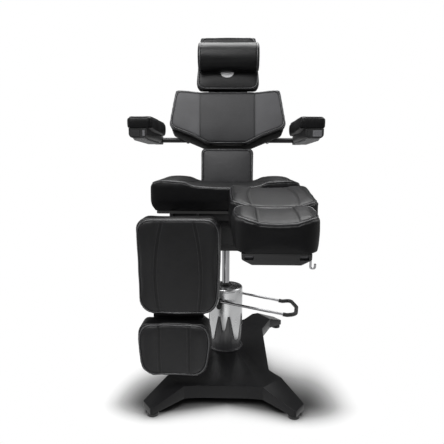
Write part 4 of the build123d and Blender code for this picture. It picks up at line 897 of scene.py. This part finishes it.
def swell_to(mesh, before, way, limit):
    """Moves a fine mesh outwards as the nearest points of the simulated cover went, without its ripples:
    full in the middle of each panel, drawn in along the edges. Each vertex takes the mean of the four
    nearest, the near ones counting more, evened over the mesh, less what the whole pad gives."""
    tree = KDTree(len(before))
    for number, point in enumerate(before):
        tree.insert(point, number)
    tree.balance()
    points = read_points(mesh)
    found = [tree.find_n(point, 4) for point in points]
    values = np.array([[way[hit[1]] for hit in hits] for hits in found])
    weights = 1 / np.array([[hit[2] + 0.001 for hit in hits] for hits in found])
    moved = ((values * weights).sum(1) / weights.sum(1))[:, None]
    mean = neighbour_mean(mesh)
    for _ in range(30):
        moved = 0.2 * moved + 0.8 * mean(moved)
    moved = np.clip(moved - np.median(moved) + 0.25 * limit, -0.6 * limit, limit)
    write_points(mesh, points + read_vectors(mesh.vertices, "normal") * moved)


def domed(mesh, m, rise, crown):
    """Raises a pad's face into a dome: by crown in the middle, times one less the square of the way to the
    edge, both across and along."""
    points = read_points(mesh)
    local = to_local(points, m)
    way = local[:, :2] / np.abs(local[:, :2]).max(0)
    dome = (1 - way ** 2).clip(0.0, 1.0).prod(1) * step_up(local[:, 2], rise, 0.01)
    write_points(mesh, points + m[:3, 2] * (crown * dome)[:, None])


def ray_hits(tree, m, start, rays):
    """Where rays from a pad's own point, in directions of its own axes, meet its cover."""
    origin = Vector(to_world(np.array(start), m))
    return np.array([list(tree.ray_cast(origin, Vector(m[:3, :3] @ ray))[0]) for ray in rays])


def edge_loop(tree, m, height, inset):
    """The line of an edge seam in u and v: the pad's widest outline, found by rays from its middle and
    drawn in by inset."""
    turn = np.linspace(0.0, 2 * math.pi, 360, endpoint=False)
    rays = np.stack([np.cos(turn), np.sin(turn), np.zeros_like(turn)], axis=1)
    outline = to_local(ray_hits(tree, m, (0.0, 0.0, height), rays), m)[:, :2]
    outline = softened(resampled(outline, OUTLINE_SPACING, True), 14, True)
    return softened(resampled(beside(outline, inset, True), OUTLINE_SPACING, True), 6, True)


def ring_line(tree, m, u, rise):
    """The line of a seam that goes round a roll at a place across it, over its free side."""
    turn = np.linspace(math.radians(-24), math.radians(204), 120)
    rays = np.stack([np.zeros_like(turn), np.cos(turn), np.sin(turn)], axis=1)
    return resampled(softened(ray_hits(tree, m, (u, 0.0, rise), rays), 8, False), SEAM_SPACING, False)


def laid_on(tree, m, flat, closed, rounds=6, above=0.4, level=0.05):
    """Points of a line in u and v dropped onto the pad's face along w from above, then evened out. One that
    misses the face goes from the level to the nearest place of the cover."""
    down = Vector(-m[:3, 2])
    laid = []
    for u, v in flat:
        hit = tree.ray_cast(Vector(to_world(np.array((u, v, above)), m)), down)[0]
        if hit is None:
            hit = tree.find_nearest(Vector(to_world(np.array((u, v, level)), m)))[0]
        laid.append(list(hit))
    return softened(np.array(laid), rounds, closed)


def stitch_mesh(name, tree, path, closed, pitch, thread=0.0005):
    """A row of stitches along a path: short tapered runs of thread that arch out of the cover and dip
    back into it. Each is five rings, with its place along the stitch, its size and its height."""
    steps = resampled(path, pitch, closed)
    tangent = directions(steps, closed)
    found = [tree.find_nearest(Vector(point)) for point in steps]
    foot = np.array([list(hit[0]) for hit in found])
    out = np.array([list(hit[1]) for hit in found])
    out -= tangent * (out * tangent).sum(1)[:, None]
    out /= np.linalg.norm(out, axis=1)[:, None]
    aside = np.cross(tangent, out)
    run = np.array([-0.40, -0.30, 0.0, 0.30, 0.40]) * pitch
    size = np.array([0.45, 0.90, 1.0, 0.90, 0.45]) * thread
    rise = np.array([-0.8, 0.25, 0.6, 0.25, -0.8]) * thread
    turn = np.linspace(0.0, 2 * math.pi, 6, endpoint=False)
    centre = foot[:, None] + tangent[:, None] * run[None, :, None] + out[:, None] * rise[None, :, None]
    ring = aside[:, None] * np.cos(turn)[:, None] + out[:, None] * np.sin(turn)[:, None]
    points = centre[:, :, None] + ring[:, None] * size[None, :, None, None]
    count, rows, sides = points.shape[:3]
    outwards = np.roll(grid_quads(rows, sides, False, True)[:, ::-1], 1, axis=1)
    quads = outwards[None] + (np.arange(count) * rows * sides)[:, None, None]
    return quad_mesh(name, points, quads.reshape(-1, 4))


def bowed_line(start, middle, end, count=90):
    """Points of a bowed line in u and v through three points: u is a quadratic in v."""
    v = np.linspace(start[1], end[1], count)
    coefficients = np.polyfit([start[1], middle[1], end[1]], [start[0], middle[0], end[0]], 2)
    return np.stack([np.polyval(coefficients, v), v], axis=1)


def mirrored_seams(pad):
    """A pad's two sewn channels, left and right."""
    return [bowed_line(*((hand * u, v) for u, v in SEAMS[pad])) for hand in HANDS.values()]


def pucker(points, normals, path, height, seed):
    """Small gathers beside a seam: the mean of three waves along it, each drifting in phase, that dies away
    within reach of the seam and in the seam itself."""
    random = np.random.default_rng(seed)
    along = lengths_along(path)
    wave = np.zeros(len(path))
    for length in GATHER_WAVES:
        phase = random.uniform(0.0, 2 * math.pi)
        drift = np.cumsum(random.normal(0.0, GATHER_DRIFT, len(path)))
        wave += np.sin(2 * math.pi * along / length + phase + drift)
    gap, which = distance_to(points, path)
    fade = near(gap, GATHER_REACH) * (1 - near(gap, GATHER_START))
    return normals * (height * wave[which] / len(GATHER_WAVES) * fade)[:, None], gap


def form_pad(obj, node, m, rise, seams, puff, even, crown):
    """Forms a pad from its remeshed solid: drawn in all over, more along its channels, and over its face,
    raised by the crown, filled as the cloth simulation says, and subdivided."""
    leather = bpy.context.scene.chair_leather
    relax(obj.data, rounds=5, share=0.5, back=0.53)
    for flat in seams:
        local = to_local(read_points(obj.data), m)
        gap = distance_to(local[:, :2], flat)[0]
        relax(obj.data, rounds=8, share=0.6, where=near(gap, 0.012) * (local[:, 2] > rise))
    facing = read_vectors(obj.data.vertices, "normal") @ m[:3, 2]
    relax(obj.data, rounds=even, share=0.7, where=step_up(facing, TOP_FACING, FACING_STEP))
    domed(obj.data, m, rise, crown)
    swell_to(obj.data, *filled(node, m), puff * leather.swell)
    relax(obj.data, rounds=2, share=0.4, back=0.4)
    finer = obj.modifiers.new("finer", "SUBSURF")
    finer.levels = finer.render_levels = 1
    replace_mesh(obj, baked(obj))


def sew_pad(obj, m, lines, panel, depth, gather, seed):
    """Presses the seams into a pad and gathers its cover beside them, and masks the seams and the outer
    panels for the leather: what is on top and further aside than the middle panel's half width."""
    leather = bpy.context.scene.chair_leather
    points, normals = read_points(obj.data), read_vectors(obj.data.vertices, "normal")
    moved = points.copy()
    crease = np.zeros(len(points))
    for number, (path, closed) in enumerate(lines):
        height = gather * (1.0 if closed else 0.6)
        gathers, gap = pucker(points, normals, path, height, seed * 10 + number)
        groove = leather.seam_depth * (EDGE_SEAM_SHARE if closed else depth) * near(gap, leather.seam_width)
        moved += gathers - normals * groove[:, None]
        crease = np.maximum(crease, near(gap, 0.8 * leather.seam_width))
    write_points(obj.data, moved)
    write_mask(obj.data, "crease", crease)
    upwards = step_up(normals @ m[:3, 2], SIDE_FACING, FACING_STEP)
    beyond = step_up(np.abs(to_local(points, m)[:, 0]), panel, 0.002)
    write_mask(obj.data, "outer_panel", beyond * upwards)
    smooth_shaded(obj.data)


def cover_pad(obj, m, cover, edge):
    """Gives a pad its leather, and on its sides, where it has an edge seam, a darker, duller leather as
    painted shade.
    """
    obj.data.materials.clear()
    obj.data.materials.append(finish(cover))
    if edge:
        obj.data.materials.append(finish("side_leather"))
        aside = read_vectors(obj.data.polygons, "normal") @ m[:3, 2] < SIDE_FACING
        obj.data.polygons.foreach_set("material_index", aside.astype(np.int32))


def seam_piece(name, body, mesh, material):
    """A piece of sewing that rides with its cushion."""
    obj = new_object(name, mesh)
    obj.data.materials.append(finish(material))
    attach(obj, body)


def upholster(
    node, body, m, rise, seed, seams=(), rings=(), panel=math.inf, edge=True, depth=1.0,
    gather=0.0007, puff=1.0, even=12, crown=0.0, cover="leather",
):
    """One cushion, from its CAD solid: remeshed, drawn in, domed by crown, filled by cloth simulation,
    subdivided, then sewn with channels, rows of stitches and an edge seam with piping, with darker, duller
    leather on its sides as painted shade. The seams are lines in the pad's own u and v, and rings are places
    across the pad where a piped seam goes round it."""
    leather = bpy.context.scene.chair_leather
    name = f"{node}_soft"
    obj = remeshed(name, node, leather.voxel)
    form_pad(obj, node, m, rise, seams, puff, even, crown)
    tree = surface_tree(obj.data)
    flats = [(flat, False) for flat in seams]
    if edge:
        flats.append((edge_loop(tree, m, rise, leather.edge_inset), True))
    lines = [
        (resampled(laid_on(tree, m, flat, closed), SEAM_SPACING, closed), closed) for flat, closed in flats
    ]
    hoops = [ring_line(tree, m, u, rise) for u in rings]
    sew_pad(obj, m, lines + [(hoop, True) for hoop in hoops], panel, depth, gather, seed)
    cover_pad(obj, m, cover, edge)
    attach(obj, body)
    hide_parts(node)
    tree = surface_tree(obj.data)
    cords = [line for line in lines if line[1]] + [(hoop, False) for hoop in hoops]
    for number, (path, closed) in enumerate(cords):
        label = f"{name}_piping_{number}"
        seam_piece(label, body, tube_mesh(label, path[::2], leather.piping, closed), "piping")
    for number, (flat, closed) in enumerate(flats):
        for side in (1,) if closed else (-1, 1):
            row = laid_on(tree, m, beside(flat, side * (leather.piping + STITCH_GAP), closed), closed, 3)
            label = f"{name}_stitches_{number}_{'a' if side > 0 else 'b'}"
            seam_piece(label, body, stitch_mesh(label, tree, row, closed, leather.stitch), "thread")


# Operators


class CHAIR_OT_metalwork(bpy.types.Operator):
    """Finishes the base, column, lever, frames and casings"""

    bl_idname = "chair.metalwork"
    bl_label = "Metal and plastic"

    def execute(self, context):
        bevel = context.scene.chair_metal.bevel
        for node, body, material, divisor in ROUNDED_NODES:
            dress(node, body, material, bevel / divisor)
        for side in HANDS:
            for piece, limb, material, divisor in ROUNDED_PAIRS:
                dress(f"{piece}_{side}", f"{side}_{limb}", material, bevel / divisor)
        for material, nodes in PLAIN_NODES.items():
            for node in nodes:
                paint_node(node, material)
        return {"FINISHED"}


class CHAIR_OT_seat(bpy.types.Operator):
    """Makes the seat cushion with its two bolsters"""

    bl_idname = "chair.seat"
    bl_label = "Seat cushion"

    def execute(self, context):
        upholster(
            "seat_cushion", "turret", place(SEAT_PLACE, 0.0), EDGE_HEIGHT["seat"], seed=1,
            seams=mirrored_seams("seat"), puff=0.6,
        )
        return {"FINISHED"}


class CHAIR_OT_legs(bpy.types.Operator):
    """Makes the leg and foot cushions"""

    bl_idname = "chair.legs"
    bl_label = "Leg and foot cushions"

    def execute(self, context):
        for side, hand in HANDS.items():
            hinge = place(LEG_HINGE, LEG_TURN[side], hand)
            upholster(
                f"leg_cushion_{side}", f"{side}_leg", shifted(hinge, 0.0, LEG_MIDDLE, LEG_BACK),
                EDGE_HEIGHT["leg"], seed=3 + hand, seams=mirrored_seams("leg"), depth=0.6,
                puff=1.3, crown=0.008,
            )
            upholster(
                f"foot_cushion_{side}", f"{side}_foot", shifted(hinge, *FOOT_MIDDLE[side], LEG_BACK),
                EDGE_HEIGHT["foot"], seed=6 + hand, seams=mirrored_seams("foot"), depth=0.6,
                puff=1.3, crown=0.007,
            )
        return {"FINISHED"}


class CHAIR_OT_back(bpy.types.Operator):
    """Makes the lumbar cushion and the shoulder cushion"""

    bl_idname = "chair.back"
    bl_label = "Back cushions"

    def execute(self, context):
        back = place(BACK_PLACE, BACK_TURN)
        # Both pads are covered in the lighter leather that is painted sheen
        upholster(
            "lumbar_cushion", "back", shifted(back, 0.0, LUMBAR_MIDDLE, BACK_REAR), EDGE_HEIGHT["lumbar"],
            seed=11, puff=0.7, even=70, cover="worn_leather",
        )
        upholster(
            "back_cushion", "back", shifted(back, 0.0, BACK_MIDDLE, BACK_REAR), EDGE_HEIGHT["back"],
            seed=12, seams=mirrored_seams("back"), panel=PANEL_HALF_WIDTH, depth=0.3,
            gather=0.0004, even=70, cover="worn_leather",
        )
        return {"FINISHED"}


class CHAIR_OT_head(bpy.types.Operator):
    """Makes the headrest pad and its neck roll"""

    bl_idname = "chair.head"
    bl_label = "Headrest"

    def execute(self, context):
        back = place(BACK_PLACE, BACK_TURN)
        upholster(
            "head_cushion", "headrest", shifted(back, 0.0, HEAD_MIDDLE, HEAD_REAR), EDGE_HEIGHT["head"],
            seed=21, seams=mirrored_seams("head"), depth=0.5, puff=0.3, even=70,
        )
        # The neck roll is covered in the darker leather that is painted shade
        upholster(
            "head_bolster", "headrest", shifted(back, ROLL_ASIDE, ROLL_MIDDLE, 0.0), ROLL_CORE, seed=22,
            rings=ROLL_RINGS, edge=False, puff=0.5, cover="dark_leather",
        )
        return {"FINISHED"}


class CHAIR_OT_arms(bpy.types.Operator):
    """Makes the armrest pads"""

    bl_idname = "chair.arms"
    bl_label = "Armrest pads"

    def execute(self, context):
        for side, hand in HANDS.items():
            # The armrest pads are covered in the darker leather that is painted shade
            upholster(
                f"arm_pad_{side}", f"{side}_arm", place(ARM_PLACE, 0.0, hand), EDGE_HEIGHT["arm"],
                seed=31 + hand, cover="dark_leather",
            )
        return {"FINISHED"}


class CHAIR_OT_stage(bpy.types.Operator):
    """Makes the floor, the light and the camera"""

    bl_idname = "chair.stage"
    bl_label = "Studio"

    def execute(self, context):
        stage = context.scene.chair_stage
        half = stage.floor / 2
        corners = np.array([(-half, -half, 0.0), (-half, half, 0.0), (half, -half, 0.0), (half, half, 0.0)])
        floor = new_object("floor", quad_mesh("floor", corners, grid_quads(2, 2, False, False)))
        floor.data.materials.append(floor_material())
        make_world()
        for name, values in LAMPS.items():
            lamp(name, *values)
        camera = new_object("camera", bpy.data.cameras.new("camera"))
        camera.data.sensor_width = 36.0
        camera.data.lens = stage.lens
        x, y, z = stage.camera
        camera.location = (x, y + COLUMN_Y, z)
        aim = Euler((math.radians(90.0 - stage.pitch), 0.0, math.radians(stage.yaw)))
        roll = Matrix.Rotation(math.radians(stage.roll), 3, "Z")
        camera.rotation_euler = (aim.to_matrix() @ roll).to_euler()
        context.scene.camera = camera
        context.scene.view_settings.view_transform = "Standard"
        return {"FINISHED"}


def lamp(name, where, size, power):
    """A square soft light aimed at the middle of the chair."""
    light = bpy.data.lights.new(name, "AREA")
    light.energy = power
    light.size = size
    obj = new_object(name, light)
    obj.location = where
    obj.rotation_euler = (Vector(LAMP_TARGET) - Vector(where)).to_track_quat("-Z", "Y").to_euler()


def shadow_gap(tree, x, y):
    """How far a point of the floor is from the pool's middle line, where 1 is the end of its fade: the root
    of the sum of the squares of the way past its half width and of the way to the front or back, from a
    middle line that bends forwards as it goes aside."""
    aside = worked(tree, x, ("SUBTRACT", SHADOW_MIDDLE[0]), ("ABSOLUTE",))
    beyond = worked(
        tree, aside, ("SUBTRACT", SHADOW_HALF_WIDTH), ("MAXIMUM", 0.0), ("DIVIDE", SHADOW_FADE["side"])
    )
    bend = worked(tree, aside, ("MINIMUM", SHADOW_HALF_WIDTH), ("MULTIPLY", SHADOW_BEND))
    behind = worked(tree, y, ("SUBTRACT", SHADOW_MIDDLE[1]), ("ADD", bend))
    forwards = worked(tree, behind, ("DIVIDE", -SHADOW_FADE["front"]))
    along = worked(tree, behind, ("DIVIDE", SHADOW_FADE["back"]), ("MAXIMUM", forwards), ("POWER", 2.0))
    return worked(tree, beyond, ("POWER", 2.0), ("ADD", along), ("SQRT",))


def floor_material():
    """Pale floor: it shows the shadow near the chair, darkest where the base comes close to it, turns into
    the white background further out, and is dim in reflections, more so far off and to the sides."""
    material, tree, shader = new_material("floor", {"Roughness": 0.9, "Specular IOR Level": 0.1})
    where = own_place(tree)
    x, y, _ = split_axes(tree, where)
    close = add_node(tree, "ShaderNodeAmbientOcclusion", {"Distance": 0.16}, samples=8)
    gap = shadow_gap(tree, x, y)
    pool = span(tree, gap, 0.0, 1.2, 0.05, 1.0, interpolation_type="SMOOTHSTEP")
    shade = worked(tree, span(tree, close.outputs["AO"], 0.35, 1.0, 0.0, 1.0), ("MULTIPLY", pool))
    feed(tree, shader, {"Base Color": ramp(tree, shade, 0.0, 1.0, FLOOR_DARK, FLOOR_PALE)})
    rays = add_node(tree, "ShaderNodeLightPath").outputs
    seen = worked(tree, span(tree, gap, 0.5, 1.3, 0.0, 1.0), ("MULTIPLY", rays["Is Camera Ray"]))
    white = add_node(tree, "ShaderNodeEmission").outputs[0]
    seen_floor = mixed_shaders(tree, seen, shader.outputs[0], white)
    strip = span(tree, worked(tree, x, ("ABSOLUTE",)), 0.05, 0.6, 1.25, 0.66)
    distance = add_node(tree, "ShaderNodeVectorMath", {0: where}, operation="LENGTH").outputs["Value"]
    strength = worked(tree, strip, ("MULTIPLY", span(tree, distance, 2.2, 4.0, 1.0, 0.35)))
    mirrored = add_node(tree, "ShaderNodeEmission", {"Strength": strength}).outputs[0]
    whole = mixed_shaders(tree, rays["Is Glossy Ray"], seen_floor, mirrored)
    feed(tree, tree.nodes["Material Output"], {"Surface": whole})
    return material


def make_world():
    """White background for the camera, a room that grows brighter upwards and to its sides for reflections,
    and plain dim light for everything else."""
    world = bpy.data.worlds.new("studio")
    world.use_nodes = True
    tree = world.node_tree
    rays = add_node(tree, "ShaderNodeLightPath").outputs
    x, _, z = split_axes(tree, add_node(tree, "ShaderNodeTexCoord").outputs["Generated"])
    height = add_node(tree, "ShaderNodeFloatCurve", {"Value": z})
    curve = height.mapping.curves[0]
    for upwards, level in ROOM_TONES[1:-1]:
        curve.points.new(upwards, level)
    curve.points[0].location = ROOM_TONES[0]
    curve.points[-1].location = ROOM_TONES[-1]
    height.mapping.update()
    sides = span(tree, worked(tree, x, ("ABSOLUTE",)), *ROOM_SIDES)
    room = worked(tree, height.outputs[0], ("MULTIPLY", ROOM_STRENGTH), ("MAXIMUM", sides))
    glossy = worked(tree, room, ("MULTIPLY", rays["Is Glossy Ray"]))
    matt = worked(tree, 1.0, ("SUBTRACT", rays["Is Glossy Ray"]), ("MULTIPLY", MATT_LIGHT))
    lit = worked(tree, matt, ("ADD", glossy), ("MAXIMUM", rays["Is Camera Ray"]))
    feed(tree, tree.nodes["Background"], {"Color": (*WHITE, 1.0), "Strength": lit})
    bpy.context.scene.world = world


class CHAIR_PT_panel(bpy.types.Panel):
    """Lists the steps that make the chair"""

    bl_label = "Tattoo chair"
    bl_idname = "CHAIR_PT_panel"
    bl_space_type = "VIEW_3D"
    bl_region_type = "UI"
    bl_category = "Chair"

    def draw(self, context):
        for step in STEPS:
            self.layout.operator(step.bl_idname)
        for name in GROUPINGS:
            group = getattr(context.scene, name)
            box = self.layout.box()
            for key in group.__annotations__:
                box.prop(group, key)


STEPS = (
    CHAIR_OT_metalwork,
    CHAIR_OT_seat,
    CHAIR_OT_legs,
    CHAIR_OT_back,
    CHAIR_OT_head,
    CHAIR_OT_arms,
    CHAIR_OT_stage,
)
GROUPINGS = {"chair_leather": ChairLeather, "chair_metal": ChairMetal, "chair_stage": ChairStage}


def register():
    for group in GROUPINGS.values():
        bpy.utils.register_class(group)
    for name, group in GROUPINGS.items():
        setattr(bpy.types.Scene, name, PointerProperty(type=group))
    for step in STEPS:
        bpy.utils.register_class(step)
    bpy.utils.register_class(CHAIR_PT_panel)


def unregister():
    bpy.utils.unregister_class(CHAIR_PT_panel)
    for step in reversed(STEPS):
        bpy.utils.unregister_class(step)
    for name, group in GROUPINGS.items():
        delattr(bpy.types.Scene, name)
        bpy.utils.unregister_class(group)


def main():
    """Makes the whole chair and its studio."""
    register()
    for name in ("metalwork", "seat", "legs", "back", "head", "arms", "stage"):
        getattr(bpy.ops.chair, name)()


if __name__ == "__main__":
    main()
